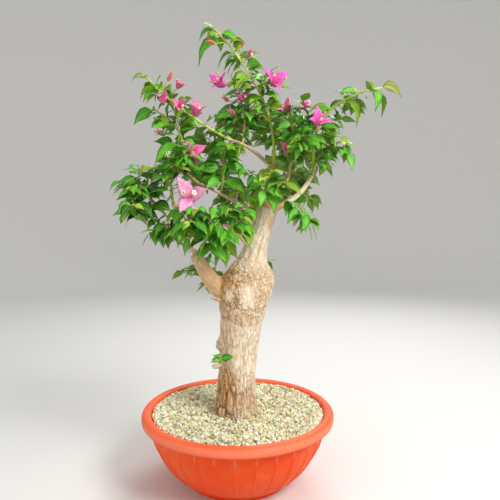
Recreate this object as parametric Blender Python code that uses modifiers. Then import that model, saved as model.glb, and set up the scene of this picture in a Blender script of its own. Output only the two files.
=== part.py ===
"""Bougainvillea pre-bonsai: a thick trunk with a sawn limb and a leafy crown, in its plastic bowl.

Metres, +Z up. The origin is the centre of the bowl's flat underside, and +Y points away from
the side that the plant is seen from.
"""
import math
import random
from dataclasses import dataclass

import bmesh
import bpy
from mathutils import Matrix, Vector
from mathutils.bvhtree import BVHTree

MM = 0.001
UP = Vector((0.0, 0.0, 1.0))
OBJECT_NAME = "bougainvillea_pre_bonsai"

# Clearances: a cut seat, and the margin that keeps leaves off their neighbours
SEAT_GAP = 0.35 * MM
LEAF_MARGIN = 0.5 * MM
MERGE = 0.01 * MM

# Bowl
BOWL_HEIGHT = 112 * MM
RIM_RADIUS = 152.5 * MM
RIM_INNER_RADIUS = 137 * MM
LIP_DEPTH = 13 * MM
BODY_TOP_RADIUS = 137.5 * MM
BODY_FOOT_RADIUS = 95 * MM
FOOT_HEIGHT = 15 * MM
FOOT_RADIUS = 81.5 * MM
FOOT_TURN = ((91.8 * MM, 11.5 * MM), (86.5 * MM, 8 * MM), (82.5 * MM, 6 * MM))
BODY_FULLNESS = 0.8
BOWL_WALL = 3 * MM
BOWL_STEPS = 42
BODY_RINGS = 4
DRAIN_HOLES = 5
DRAIN_RADIUS = 5 * MM
DRAIN_CIRCLE = 55 * MM
DRAIN_SIDES = 12

# Growing mix, topped with gravel
GRAVEL_LEVEL = 106 * MM
GRAVEL_INSET = 3.2 * MM
GRAVEL_DEPTH = 12 * MM
GRAVEL_SWELL = 0.9 * MM
SWELL_PITCH = 23 * MM
GRAVEL_RINGS = 5
MIX_STEPS = 32

# The round hollow in the gravel that the trunk's foot stands in
FOOT_COVER = 3 * MM
HOLLOW_MARGIN = 1.5 * MM
HOLLOW_SIDES = 20

# Trunk, measured up from its foot
TRUNK_FOOT = Vector((-3.5 * MM, -8 * MM, GRAVEL_LEVEL - FOOT_COVER + SEAT_GAP))
TRUNK_HEIGHT = 252 * MM
TRUNK_LEAN = Vector((25.5 * MM, 6 * MM, 0))
TRUNK_LEAN_POWER = 1.9
TRUNK_RADIUS = 33 * MM
TRUNK_SWELL = 2 * MM
TRUNK_WAIST = 4 * MM
WAIST_HEIGHT = 75 * MM
WAIST_SPREAD = 55 * MM
FLARE = 7 * MM
FLARE_REACH = 10 * MM
BURL = 8.5 * MM
BURL_HEIGHT = 203 * MM
BURL_SPREAD_BELOW = 30 * MM
BURL_SPREAD_ABOVE = 26 * MM
DOME_START = 215 * MM
ROOT_LOBES = 5
ROOT_LOBE_DEPTH = 0.07
ROOT_LOBE_REACH = 26 * MM
BARK_LOBES = 7
BARK_LOBE_DEPTH = 0.018
TRUNK_RINGS = 20
TRUNK_SIDES = 22

# The rule of the foliage: nodes follow each other at the golden angle, and what finds no room
# at its node is turned on about the stem a few times before it is left out
GOLDEN_TURN = math.radians(137.5)
TURNS_TRIED = 5
TWIG_TURN = math.radians(67)
LEAF_TURN = math.radians(50)
FIRST_NODE = 11 * MM
STEM_END = 0.985
STEM_RING_STEP = 32 * MM
STEM_SIDES = 4
TWIG_SIDES = 3
TWIG_ZONE = (0.22, 0.88)
TWIG_TILT = (0.35, 0.75)
TWIG_RISE = (0.1, 0.35)

# A leaf, in shares of its length
LEAF_WIDTH = 0.5
LEAF_THICKNESS = 0.025
LEAF_SHOULDER = 0.42
LEAF_BACKBONE = 0.2
LEAF_FOLD = 0.12
LEAF_SPREAD = 0.14
LEAF_SLACK = 1.12
CHIEF_FLAT = 0.3
CHIEF_RISE = 0.35
STEEPEST_DROOP = 0.92

# Blossom: a bloom with bracts shorter than a bud's is closed
BUD_SIZE = 19
BUD_OPENING = 0.28
BLOOM_OPENING = 0.8
BRACT_NOTCH = 0.36
CUP_WALL = 1.4 * MM
CUP_ROOT = 1.2 * MM


@dataclass(frozen=True)
class Limb:
    """A tapering limb that leaves its carrier's centre line at a share of its length (sizes in mm)."""

    name: str
    carrier: str
    at: float
    reach: tuple
    bow: tuple
    radii: tuple
    sides: int = 8
    rings: int = 6
    taper: float = 1.0
    cut_by: tuple = ()


@dataclass(frozen=True)
class Spray:
    """A mass of leaves: one stem, its side twigs, leaves and blossom (sizes in mm).

    Each bloom is given by the share of the stem that bears it, where its mouth stands from
    there, and how long its bracts are. A bloom with short bracts is a closed bud. A leaf that
    stands out of the outline is given by the share of the stem that bears it and by its tip.
    """

    name: str
    carrier: str
    at: float
    reach: tuple
    bow: tuple = (0, 0, 0)
    sway: tuple = (0, 0, 0)
    radii: tuple = (1.9, 1.1)
    leaf: tuple = (42, 26)
    spacing: float = 15
    droop: float = 0.62
    twigs: int = 3
    twig_length: float = 50
    seed: int = 1
    blooms: tuple = ()
    leaves: tuple = ()


LIMBS = (
    Limb("leader", "trunk", 0.78, (36, -3, 132), (-3, 0, 0), (31, 16.2), sides=16, rings=9,
         taper=2.0),
    Limb("sawn_limb", "trunk", 0.68, (-76, -12, 86), (-4, 0, -9), (18, 11), sides=14, rings=7,
         cut_by=("leader",)),
    Limb("leader_spur", "leader", 0.94, (11, 6, 76), (-2, 0, 0), (10.5, 5), sides=10),
    Limb("right_bough", "leader", 0.95, (77, 20, 70), (10, -8, -9), (7, 4), sides=8, rings=8,
         cut_by=("leader_spur",)),
    Limb("low_left_bough", "leader", 0.46, (-118, -68, 70), (4, -18, 17), (3.6, 2.4), rings=8),
    Limb("mid_left_bough", "leader", 0.88, (-107, -26, 54), (-2, -4, 2), (3.2, 2.0)),
    Limb("far_left_bough", "sawn_limb", 0.97, (-59, -22, 79), (4, -1, 2), (3.2, 2.2)),
    Limb("upper_left_bough", "leader_spur", 0.9, (-65, -27, 40), (-1, 0, 8), (2.9, 2.2)),
    Limb("inner_right_bough", "leader_spur", 0.24, (34, -10, 53), (8, -4, -4), (3.4, 2.4),
         cut_by=("leader", "right_bough")),
    Limb("back_left_bough", "leader_spur", 0.2, (-68, 60, 31), (-2, 8, 6), (4.0, 2.6),
         cut_by=("leader",)),
    Limb("back_right_bough", "leader_spur", 0.5, (38, 64, 26), (2, 6, 8), (3.8, 2.6)),
)

SPRAYS = (
    Spray("top_spray", "leader_spur", 1.0, (-90, -28, 199), (28, 6, 0), radii=(2.4, 1.2),
          leaf=(44, 38), spacing=15, twigs=3, twig_length=34, seed=11,
          blooms=((0.70, (-24, -12, -8), 32), (0.60, (26, -8, 10), 36), (0.76, (11, -12, 8), 17),
                  (0.84, (11, -6, 6), 15), (0.9, (-22, -18, -9), 16)),
          leaves=((0.91, (-44, 4, -40)), (0.98, (-28, -6, -14)), (0.96, (26, -4, -17)),
                  (0.83, (-28, 4, -23)), (0.74, (31, 8, -3)), (0.69, (22, -16, 2)),
                  (0.65, (-27, -26, -36)), (0.62, (12, 16, -28)), (0.52, (27, -14, -12)),
                  (0.5, (-30, 22, -30)), (0.42, (24, -28, -14)))),
    Spray("upper_left_spray", "upper_left_bough", 1.0, (-120, -32, 83), (-3, 0, -6),
          leaf=(44, 32), spacing=16, twigs=3, twig_length=40, seed=12,
          blooms=((0.5, (12, -20, 12), 30), (0.60, (2, -18, -6), 22), (0.76, (-3, -14, -6), 24),
                  (0.72, (16, -10, 18), 20), (0.83, (14, -4, 18), 16)),
          leaves=((0.86, (-26, -8, -19)), (0.98, (-16, 6, 4)), (0.84, (-10, 12, -16)),
                  (0.56, (-6, -16, -26)), (0.32, (-36, -12, -30)), (0.7, (-8, 14, -28)))),
    Spray("left_riser_spray", "low_left_bough", 1.0, (-32, 28, 144), (23, -5, 1), (-13, 0, 0),
          leaf=(46, 34), spacing=16, twigs=3, twig_length=46, seed=13,
          blooms=((0.84, (-16, -6, -12), 17), (0.56, (20, -9, -2), 28), (0.12, (27, -30, 8), 44),
                  (0.44, (-9, -14, 6), 14)),
          leaves=((0.99, (-31, -4, -22)), (0.93, (5, -14, -27)), (0.63, (-35, -14, -32)),
                  (0.6, (-14, 10, -16)), (0.35, (-27, -8, 2)))),
    Spray("left_tip_spray", "far_left_bough", 1.0, (-36, -14, 28), (0, 0, 5),
          leaf=(42, 32), spacing=12, twigs=4, twig_length=40, seed=14,
          leaves=((0.98, (-16, -4, -8)), (0.55, (-21, -10, -24)), (0.25, (-29, -12, -25)))),
    Spray("left_low_spray", "far_left_bough", 0.82, (-46, -36, 2), (0, 0, 8),
          leaf=(42, 32), spacing=12, twigs=3, twig_length=36, seed=15, leaves=((0.4, (36, -28, -8)),)),
    Spray("left_droop_spray", "far_left_bough", 0.5, (-26, -42, -6), (0, 0, 8),
          leaf=(44, 34), spacing=13, twigs=2, twig_length=30, seed=16,
          leaves=((0.6, (-15, -6, -26)), (0.15, (-9, -8, -34)))),
    Spray("mid_left_spray", "mid_left_bough", 1.0, (-38, -20, 22), (0, 0, 6),
          leaf=(42, 32), spacing=15, twigs=3, twig_length=40, seed=17),
    Spray("mid_riser_spray", "mid_left_bough", 0.62, (-4, 10, 84), (5, -2, 0),
          leaf=(44, 34), spacing=17, twigs=3, twig_length=40, seed=18,
          leaves=((0.45, (-40, -14, -3)), (0.98, (3, -12, -31)), (0.25, (37, -16, -24)),
                  (0.5, (40, 12, -12)))),
    Spray("low_front_spray", "low_left_bough", 0.62, (20, -22, -48), (-4, -12, 12),
          leaf=(48, 38), spacing=13, twigs=3, twig_length=34, seed=19,
          leaves=((0.4, (-36, -14, -26)), (0.75, (-36, -4, -24)), (0.35, (0, -26, -32)),
                  (0.15, (16, -22, -8)), (0.7, (23, -12, -26)),
                  (0.98, (10, -6, -30)), (0.9, (28, 4, -24)))),
    Spray("low_arch_spray", "low_left_bough", 0.84, (6, -26, -40), (-4, -8, 10),
          leaf=(46, 36), spacing=14, twigs=2, twig_length=32, seed=37,
          leaves=((0.3, (-14, -10, -24)),)),
    Spray("low_mid_spray", "low_left_bough", 0.36, (26, -40, -6), (0, 0, 10),
          leaf=(44, 36), spacing=13, twigs=2, twig_length=34, seed=20),
    Spray("front_spray", "leader_spur", 0.25, (-6, -60, 12), (0, 0, 12),
          leaf=(44, 36), spacing=14, twigs=3, twig_length=40, seed=21,
          leaves=((0.9, (-17, 6, -42)), (0.2, (-19, -14, -15)), (0.7, (12, -8, -42)),
                  (0.4, (-12, -6, -34)))),
    Spray("inner_right_spray", "inner_right_bough", 1.0, (42, -42, 52), (0, -4, 8),
          leaf=(42, 32), spacing=17, twigs=4, twig_length=48, seed=22, leaves=((0.6, (24, -16, -11)),)),
    Spray("inner_top_spray", "inner_right_bough", 0.72, (4, -6, 104), (4, -16, 0),
          leaf=(42, 32), spacing=18, twigs=4, twig_length=46, seed=23,
          blooms=((0.92, (-8, -9, 4), 26), (0.94, (20, -8, 6), 24), (0.54, (-11, -12, 0), 18),
                  (0.36, (-7, -20, -3), 24))),
    Spray("crown_spray", "upper_left_bough", 0.72, (-4, 18, 74), (6, 0, 0),
          leaf=(42, 32), spacing=17, twigs=4, twig_length=50, seed=24,
          blooms=((0.52, (-18, -20, 4), 18), (0.86, (1, -18, 4), 22), (0.9, (-22, -18, -2), 16)),
          leaves=((0.75, (-42, -10, -18)),)),
    Spray("right_long_spray", "right_bough", 1.0, (94, -44, 112), (-33, 0, 22), radii=(2.4, 1.2),
          leaf=(46, 34), spacing=18, twigs=2, twig_length=30, seed=25,
          blooms=((0.46, (-10, -22, -3), 32),),
          leaves=((0.68, (22, -14, -47)), (0.83, (-28, -8, -2)), (0.8, (8, 10, -34)),
                  (0.92, (5, -10, -41)), (0.94, (16, 10, -46)), (0.96, (-12, 4, 12)),
                  (0.985, (29, 10, -14)), (0.57, (-35, -4, -4)), (0.6, (8, 14, -20)))),
    Spray("right_spray", "right_bough", 0.86, (46, -30, 50), (-8, 0, 12),
          leaf=(42, 32), spacing=14, twigs=3, twig_length=42, seed=26,
          leaves=((0.8, (11, -14, -22)), (0.95, (9, -6, -29)), (0.6, (0, -10, -24)),
                  (0.3, (10, -28, -18)))),
    Spray("right_small_spray", "right_bough", 0.3, (30, -30, -36), (6, -4, 8),
          radii=(1.6, 1.0), leaf=(40, 32), spacing=14, twigs=1, twig_length=26, seed=27,
          leaves=((0.6, (2, -16, -32)),)),
    Spray("back_left_spray", "back_left_bough", 1.0, (-68, 46, 36), (0, 6, 8),
          leaf=(44, 32), spacing=17, twigs=4, twig_length=56, seed=28,
          blooms=((0.7, (-6, 14, 16), 28), (0.95, (-10, 10, 16), 24))),
    Spray("back_low_spray", "back_left_bough", 0.6, (-20, 66, -48), (0, 8, 14),
          leaf=(46, 34), spacing=17, twigs=3, twig_length=46, seed=42),
    Spray("back_riser_spray", "back_left_bough", 0.8, (-24, -4, 96), (-8, 8, 0),
          leaf=(44, 32), spacing=18, twigs=4, twig_length=54, seed=30,
          blooms=((0.9, (4, 12, 16), 28), (0.6, (-16, 18, 4), 24))),
    Spray("back_right_spray", "back_right_bough", 1.0, (56, 44, 48), (0, 6, 10),
          leaf=(44, 32), spacing=17, twigs=4, twig_length=54, seed=31,
          blooms=((0.75, (12, 14, 14), 28),)),
    Spray("back_top_spray", "back_right_bough", 0.7, (-24, 6, 112), (6, 12, 0),
          leaf=(42, 32), spacing=19, twigs=4, twig_length=52, seed=32,
          blooms=((0.9, (8, 14, 12), 28), (0.6, (18, 14, 6), 22))),
    Spray("back_right_low_spray", "back_right_bough", 0.55, (48, 40, -36), (0, 4, 12),
          leaf=(44, 34), spacing=17, twigs=3, twig_length=42, seed=33),
    Spray("behind_limb_spray", "trunk", 0.82, (-112, 76, 14), (-6, 10, 10), radii=(1.6, 1.0),
          leaf=(38, 28), spacing=15, twigs=3, twig_length=34, seed=34),
    Spray("behind_leader_spray", "leader", 0.38, (28, 44, -12), (4, 6, 6), radii=(1.5, 0.9),
          leaf=(30, 24), spacing=12, twigs=1, twig_length=20, seed=35),
    Spray("trunk_sprout", "trunk", 0.35, (-27, -38, 8), (-2, 0, 3), radii=(1.4, 0.9),
          leaf=(26, 16), spacing=30, droop=0.3, twigs=0, seed=36,
          leaves=((0.97, (21, -5, 6)), (0.93, (-11, -3, 3)), (0.88, (-10, -8, -5)))),
)

# Finishes: base colour, roughness
FINISHES = {
    "bowl": ((0.72, 0.10, 0.035), 0.45),
    "gravel": ((0.55, 0.50, 0.40), 0.85),
    "bark": ((0.55, 0.38, 0.26), 0.8),
    "spray": ((0.10, 0.32, 0.05), 0.45),
}


class Path:
    """A centre line from a start point: its reach, its bow to one side, its sway and its rings."""

    def __init__(self, start, reach, bow, sway=(0, 0, 0), unit=MM, rings=3):
        self.start = Vector(start)
        self.reach = Vector(reach) * unit
        self.bow = Vector(bow) * unit
        self.sway = Vector(sway) * unit
        self.rings = rings

    def curve(self, t):
        """Place at share t of the smooth curve."""
        lift = 4 * t * (1 - t)
        return self.start + self.reach * t + self.bow * lift + self.sway * math.sin(math.tau * t)

    def point(self, t):
        """Place at share t of the chain of straight pieces between the rings."""
        step = min(int(t * self.rings), self.rings - 1)
        low = self.curve(step / self.rings)
        high = self.curve((step + 1) / self.rings)
        return low.lerp(high, t * self.rings - step)

    def tangent(self, t):
        """Direction at share t of the path."""
        turn = self.sway * (math.tau * math.cos(math.tau * t))
        return (self.reach + self.bow * (4 - 8 * t) + turn).normalized()

    def length(self):
        """Length along the path."""
        steps = 24
        points = [self.curve(i / steps) for i in range(steps + 1)]
        return sum((b - a).length for a, b in zip(points, points[1:]))


def clear_scene():
    """Remove every object of the scene."""
    for item in list(bpy.data.objects):
        bpy.data.objects.remove(item, do_unlink=True)


def make_material(name, finish):
    """Principled material of one named part."""
    colour, roughness = FINISHES[finish]
    material = bpy.data.materials.new(name + "_finish")
    material.use_nodes = True
    shader = material.node_tree.nodes["Principled BSDF"]
    shader.inputs["Base Color"].default_value = (*colour, 1.0)
    shader.inputs["Roughness"].default_value = roughness
    shader.inputs["Metallic"].default_value = 0.0
    material.diffuse_color = (*colour, 1.0)
    return material


def face_outwards(bm):
    """Turn the faces of a closed mesh out, whose faces already agree with each other."""
    if bm.calc_volume(signed=True) < 0:
        bmesh.ops.reverse_faces(bm, faces=bm.faces)


def object_from(bm, name, collection):
    """Object that holds a bmesh, which is freed."""
    face_outwards(bm)
    mesh = bpy.data.meshes.new(name)
    bm.to_mesh(mesh)
    bm.free()
    item = bpy.data.objects.new(name, mesh)
    collection.objects.link(item)
    return item


def apply_modifiers(item):
    """Replace the object's mesh by the one its modifiers give."""
    graph = bpy.context.evaluated_depsgraph_get()
    mesh = bpy.data.meshes.new_from_object(item.evaluated_get(graph))
    item.modifiers.clear()
    item.data = mesh


def hide_cutter(item):
    """Show a cutter as wire only and keep it out of renders."""
    item.hide_render = True
    item.display_type = "WIRE"


def cut(item, cutter):
    """Take a cutter's shape out of an object with a live modifier."""
    boolean = item.modifiers.new("cut_" + cutter.name, "BOOLEAN")
    boolean.operation = "DIFFERENCE"
    boolean.object = cutter


def turned(name, profile, steps, collection):
    """Solid of revolution about Z from (radius, height) points that run from axis to axis."""
    mesh = bpy.data.meshes.new(name)
    points = [(radius, 0.0, height) for radius, height in profile]
    edges = [(i, i + 1) for i in range(len(points) - 1)]
    mesh.from_pydata(points, edges, [])
    item = bpy.data.objects.new(name, mesh)
    collection.objects.link(item)
    screw = item.modifiers.new("turn", "SCREW")
    screw.axis = "Z"
    screw.steps = steps
    screw.render_steps = steps
    screw.use_merge_vertices = True
    screw.merge_threshold = MERGE
    return item


def body_radius(height):
    """Outer radius of the bowl's body at a height above its foot."""
    share = (height - FOOT_HEIGHT) / (BOWL_HEIGHT - LIP_DEPTH - FOOT_HEIGHT)
    swell = math.sin(math.pi / 2 * max(share, 0.0)) ** BODY_FULLNESS
    return BODY_FOOT_RADIUS + (BODY_TOP_RADIUS - BODY_FOOT_RADIUS) * swell


def body_heights():
    """Heights of the rings of the bowl's body, from its foot up to the lip."""
    top = BOWL_HEIGHT - LIP_DEPTH
    return [FOOT_HEIGHT + (top - FOOT_HEIGHT) * (i / BODY_RINGS) ** 1.5 for i in range(BODY_RINGS + 1)]


def round_cutter(name, sides, radius, depth, place, cutters):
    """Upright cylinder that cuts and doesn't show."""
    bpy.ops.mesh.primitive_cylinder_add(vertices=sides, radius=radius, depth=depth, location=place)
    cutter = bpy.context.object
    cutter.name = name
    for holder in list(cutter.users_collection):
        holder.objects.unlink(cutter)
    cutters.objects.link(cutter)
    hide_cutter(cutter)
    return cutter


def make_bowl(parts, cutters):
    """Round bowl with a rolled rim, a full body that turns in to a low foot, and drain holes."""
    floor = FOOT_HEIGHT + BOWL_WALL
    inner = [(body_radius(z) - BOWL_WALL, z + BOWL_WALL) for z in body_heights()[:-1]]
    lip = [
        (RIM_INNER_RADIUS - 1.5 * MM, BOWL_HEIGHT - LIP_DEPTH),
        (RIM_INNER_RADIUS, BOWL_HEIGHT - 4 * MM),
        (RIM_INNER_RADIUS + 3.5 * MM, BOWL_HEIGHT - 0.8 * MM),
        (RIM_RADIUS - 6 * MM, BOWL_HEIGHT),
        (RIM_RADIUS - 1.5 * MM, BOWL_HEIGHT - 2.5 * MM),
        (RIM_RADIUS, BOWL_HEIGHT - 6.5 * MM),
        (RIM_RADIUS - 2.5 * MM, BOWL_HEIGHT - LIP_DEPTH + 0.5 * MM),
        (BODY_TOP_RADIUS + 1.5 * MM, BOWL_HEIGHT - LIP_DEPTH + 1 * MM),
    ]
    outer = [(body_radius(z), z) for z in reversed(body_heights())]
    foot = [
        *FOOT_TURN,
        (FOOT_RADIUS, 1 * MM),
        (FOOT_RADIUS - 1 * MM, 0.0),
        (0.0, 0.0),
    ]
    bowl = turned("bowl", [(0.0, floor)] + inner + lip + outer + foot, BOWL_STEPS, parts)
    for i in range(DRAIN_HOLES):
        angle = math.tau * (i + 0.5) / DRAIN_HOLES
        place = (DRAIN_CIRCLE * math.cos(angle), DRAIN_CIRCLE * math.sin(angle), 0)
        cut(bowl, round_cutter(f"drain_cutter_{i + 1}", DRAIN_SIDES, DRAIN_RADIUS,
                               4 * FOOT_HEIGHT, place, cutters))
    return bowl


def gravel_swell(place):
    """Rise of the gravel's top above its mean level."""
    wave = math.tau / (2 * SWELL_PITCH)
    rise = math.sin(place.x * wave + 0.6) * math.cos(place.y * wave)
    return GRAVEL_SWELL * (rise + 0.5 * math.sin((place.x + place.y) * wave * 0.6))


def make_gravel(parts, cutters):
    """Filling of the bowl: the mix below and the raked gravel on top, clear of wall and trunk."""
    gap = SEAT_GAP
    floor = FOOT_HEIGHT + BOWL_WALL + gap
    wall = [(body_radius(z) - BOWL_WALL - gap, z + BOWL_WALL + gap) for z in body_heights()[:-2]]
    edge = RIM_INNER_RADIUS - GRAVEL_INSET
    profile = [(edge * i / GRAVEL_RINGS, GRAVEL_LEVEL) for i in range(GRAVEL_RINGS + 1)]
    profile += [(edge, GRAVEL_LEVEL - GRAVEL_DEPTH)] + list(reversed(wall)) + [(0.0, floor)]
    gravel = turned("gravel_bed", profile, MIX_STEPS, parts)
    apply_modifiers(gravel)
    for vert in gravel.data.vertices:
        if vert.co.z > GRAVEL_LEVEL - MERGE:
            vert.co.z += gravel_swell(vert.co)
    widest = (TRUNK_RADIUS + FLARE) * (1 + ROOT_LOBE_DEPTH + BARK_LOBE_DEPTH)
    hollow = Vector((TRUNK_FOOT.x, TRUNK_FOOT.y, GRAVEL_LEVEL + FOOT_COVER))
    cut(gravel, round_cutter("hollow_cutter", HOLLOW_SIDES, widest + HOLLOW_MARGIN,
                             4 * FOOT_COVER, hollow, cutters))
    return gravel


def trunk_centre(height):
    """Centre of the trunk at a height above the gravel."""
    return TRUNK_FOOT + UP * height + TRUNK_LEAN * (height / TRUNK_HEIGHT) ** TRUNK_LEAN_POWER


def trunk_radius(height, angle):
    """Radius of the trunk: root flare, waist, burl below the fork, rounded top and bark lobes."""
    radius = TRUNK_RADIUS + TRUNK_SWELL * height / TRUNK_HEIGHT
    radius += FLARE * math.exp(-height / FLARE_REACH)
    radius -= TRUNK_WAIST * math.exp(-((height - WAIST_HEIGHT) / WAIST_SPREAD) ** 2)
    spread = BURL_SPREAD_BELOW if height < BURL_HEIGHT else BURL_SPREAD_ABOVE
    radius += BURL * math.exp(-((height - BURL_HEIGHT) / spread) ** 2)
    if height > DOME_START:
        share = (height - DOME_START) / (TRUNK_HEIGHT - DOME_START)
        radius *= math.sqrt(max(1 - 0.8 * share * share, 0.0))
    roots = ROOT_LOBE_DEPTH * math.exp(-height / ROOT_LOBE_REACH)
    wave = roots * math.cos(ROOT_LOBES * angle + 1.0)
    wave += BARK_LOBE_DEPTH * math.cos(BARK_LOBES * angle + 2.2 * math.sin(height * 18))
    return radius * (1 + wave)


class TrunkPath:
    """The trunk's centre line, for the limbs that leave it."""

    def point(self, t):
        """Centre at share t of the trunk's height."""
        return trunk_centre(t * TRUNK_HEIGHT)

    def tangent(self, t):
        """Direction at share t of the trunk's height."""
        step = 0.01
        return (self.point(t + step) - self.point(max(t - step, 0.0))).normalized()


def trunk_bmesh(grow):
    """Trunk as a stack of lobed rings, each one wider than the true one by a clearance."""
    bm = bmesh.new()
    low = -grow
    high = TRUNK_HEIGHT + grow
    start = bmesh.ops.create_circle(bm, cap_ends=True, segments=TRUNK_SIDES, radius=1.0)
    ring = start["verts"]
    edges = list(bm.edges)
    rings = [ring]
    for _ in range(TRUNK_RINGS):
        out = bmesh.ops.extrude_edge_only(bm, edges=edges)["geom"]
        edges = [item for item in out if isinstance(item, bmesh.types.BMEdge)]
        rings.append([item for item in out if isinstance(item, bmesh.types.BMVert)])
    bmesh.ops.contextual_create(bm, geom=edges)
    bmesh.ops.recalc_face_normals(bm, faces=bm.faces)
    for i, ring in enumerate(rings):
        share = i / TRUNK_RINGS
        height = low + (high - low) * (0.35 * share * share + 0.65 * share)
        centre = trunk_centre(max(height, 0.0))
        for vert in ring:
            angle = math.atan2(vert.co.y, vert.co.x)
            radius = trunk_radius(max(height, 0.0), angle) + grow
            place = Vector((math.cos(angle), math.sin(angle), 0)) * radius
            vert.co = Vector((centre.x, centre.y, TRUNK_FOOT.z + height)) + place
    return bm


def sweep(path, radii, sides, grow=0.0, taper=1.0):
    """Closed tapering tube along a path, with its ends drawn out by the same clearance."""
    bm = bmesh.new()
    shares = [i / path.rings for i in range(path.rings + 1)]
    points = [path.curve(t) for t in shares]
    tangents = [path.tangent(t) for t in shares]
    points[0] = points[0] - tangents[0] * grow
    points[-1] = points[-1] + tangents[-1] * grow
    sizes = [radii[1] + (radii[0] - radii[1]) * (1 - t) ** taper + grow for t in shares]
    turn = UP.rotation_difference(tangents[0]).to_matrix().to_4x4()
    place = Matrix.Translation(points[0]) @ turn
    bmesh.ops.create_circle(bm, cap_ends=True, segments=sides, radius=sizes[0], matrix=place)
    edges = list(bm.edges)
    for i in range(1, path.rings + 1):
        out = bmesh.ops.extrude_edge_only(bm, edges=edges)["geom"]
        edges = [item for item in out if isinstance(item, bmesh.types.BMEdge)]
        verts = [item for item in out if isinstance(item, bmesh.types.BMVert)]
        turn = tangents[i - 1].rotation_difference(tangents[i]).to_matrix().to_4x4()
        size = Matrix.Scale(sizes[i] / sizes[i - 1], 4)
        move = Matrix.Translation(points[i]) @ turn @ size @ Matrix.Translation(-points[i - 1])
        bmesh.ops.transform(bm, matrix=move, verts=verts)
    bmesh.ops.contextual_create(bm, geom=edges)
    bmesh.ops.recalc_face_normals(bm, faces=bm.faces)
    return bm


def leaf_bmesh(root, out, hang, side, length, width, thickness, fold, grow=0.0):
    """Leaf of eight faces: a flattened octahedron, bent at its middle and folded along its rib."""
    bm = bmesh.new()
    bmesh.ops.create_uvsphere(bm, u_segments=4, v_segments=2, radius=1.0)
    normal = side.cross(out).normalized()
    neck = root + out * (LEAF_BACKBONE * length)
    middle = root + out * (LEAF_SHOULDER * length)
    tip = middle + hang * ((1 - LEAF_SHOULDER) * length + 2 * grow)
    half = width / 2 + grow
    rise = thickness / 2 + grow
    for vert in bm.verts:
        across, along, over = vert.co
        if along < -0.5:
            vert.co = root
        elif along > 0.5:
            vert.co = tip
        elif abs(over) > 0.5:
            vert.co = neck + normal * (rise * over)
        else:
            vert.co = middle + side * (half * across) + normal * (fold * half)
    return bm


def bloom_bmesh(base, axis, size, turn, grow=0.0):
    """Three pointed bracts in a cup, or a slim closed bud, as one solid of twelve faces."""
    bm = bmesh.new()
    bmesh.ops.create_uvsphere(bm, u_segments=6, v_segments=2, radius=1.0)
    bud = size < BUD_SIZE * MM
    spread = BUD_OPENING if bud else BLOOM_OPENING
    wall = (0.3 * size if bud else CUP_WALL) + grow
    for vert in bm.verts:
        if vert.co.z < -0.5:
            vert.co = base - axis * (CUP_ROOT + grow)
            continue
        if vert.co.z > 0.5:
            vert.co = base + axis * wall
            continue
        step = round(math.atan2(vert.co.y, vert.co.x) / (math.pi / 3))
        radial = outward(axis, turn + step * math.pi / 3)
        tip = step % 2 == 0
        way = axis * (1.0 - 0.45 * spread) + radial * (spread if tip else 0.6 * spread)
        vert.co = base + way.normalized() * ((size if tip else BRACT_NOTCH * size) + grow)
    return bm


class Space:
    """The room that is taken by limbs, stems, twigs, blossom and leaves."""

    def __init__(self):
        self.taken = []

    def add(self, bm, tag):
        """Record a piece under a tag."""
        centre = sum((vert.co for vert in bm.verts), Vector()) / len(bm.verts)
        reach = max((vert.co - centre).length for vert in bm.verts)
        self.taken.append((tag, centre, reach, BVHTree.FromBMesh(bm)))

    def is_free(self, bm, allowed=()):
        """True where a piece touches nothing but what it may grow from."""
        centre = sum((vert.co for vert in bm.verts), Vector()) / len(bm.verts)
        reach = max((vert.co - centre).length for vert in bm.verts)
        tree = BVHTree.FromBMesh(bm)
        for tag, other, other_reach, other_tree in self.taken:
            if tag in allowed or (other - centre).length > reach + other_reach:
                continue
            if tree.overlap(other_tree):
                return False
        return True


def outward(tangent, azimuth):
    """Unit vector square to a stem, turned about it from its upper side."""
    side = tangent.cross(UP)
    if side.length < 0.2:
        side = tangent.cross(Vector((0, 1, 0)))
    side.normalize()
    top = side.cross(tangent).normalized()
    return top * math.cos(azimuth) + side * math.sin(azimuth)


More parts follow.
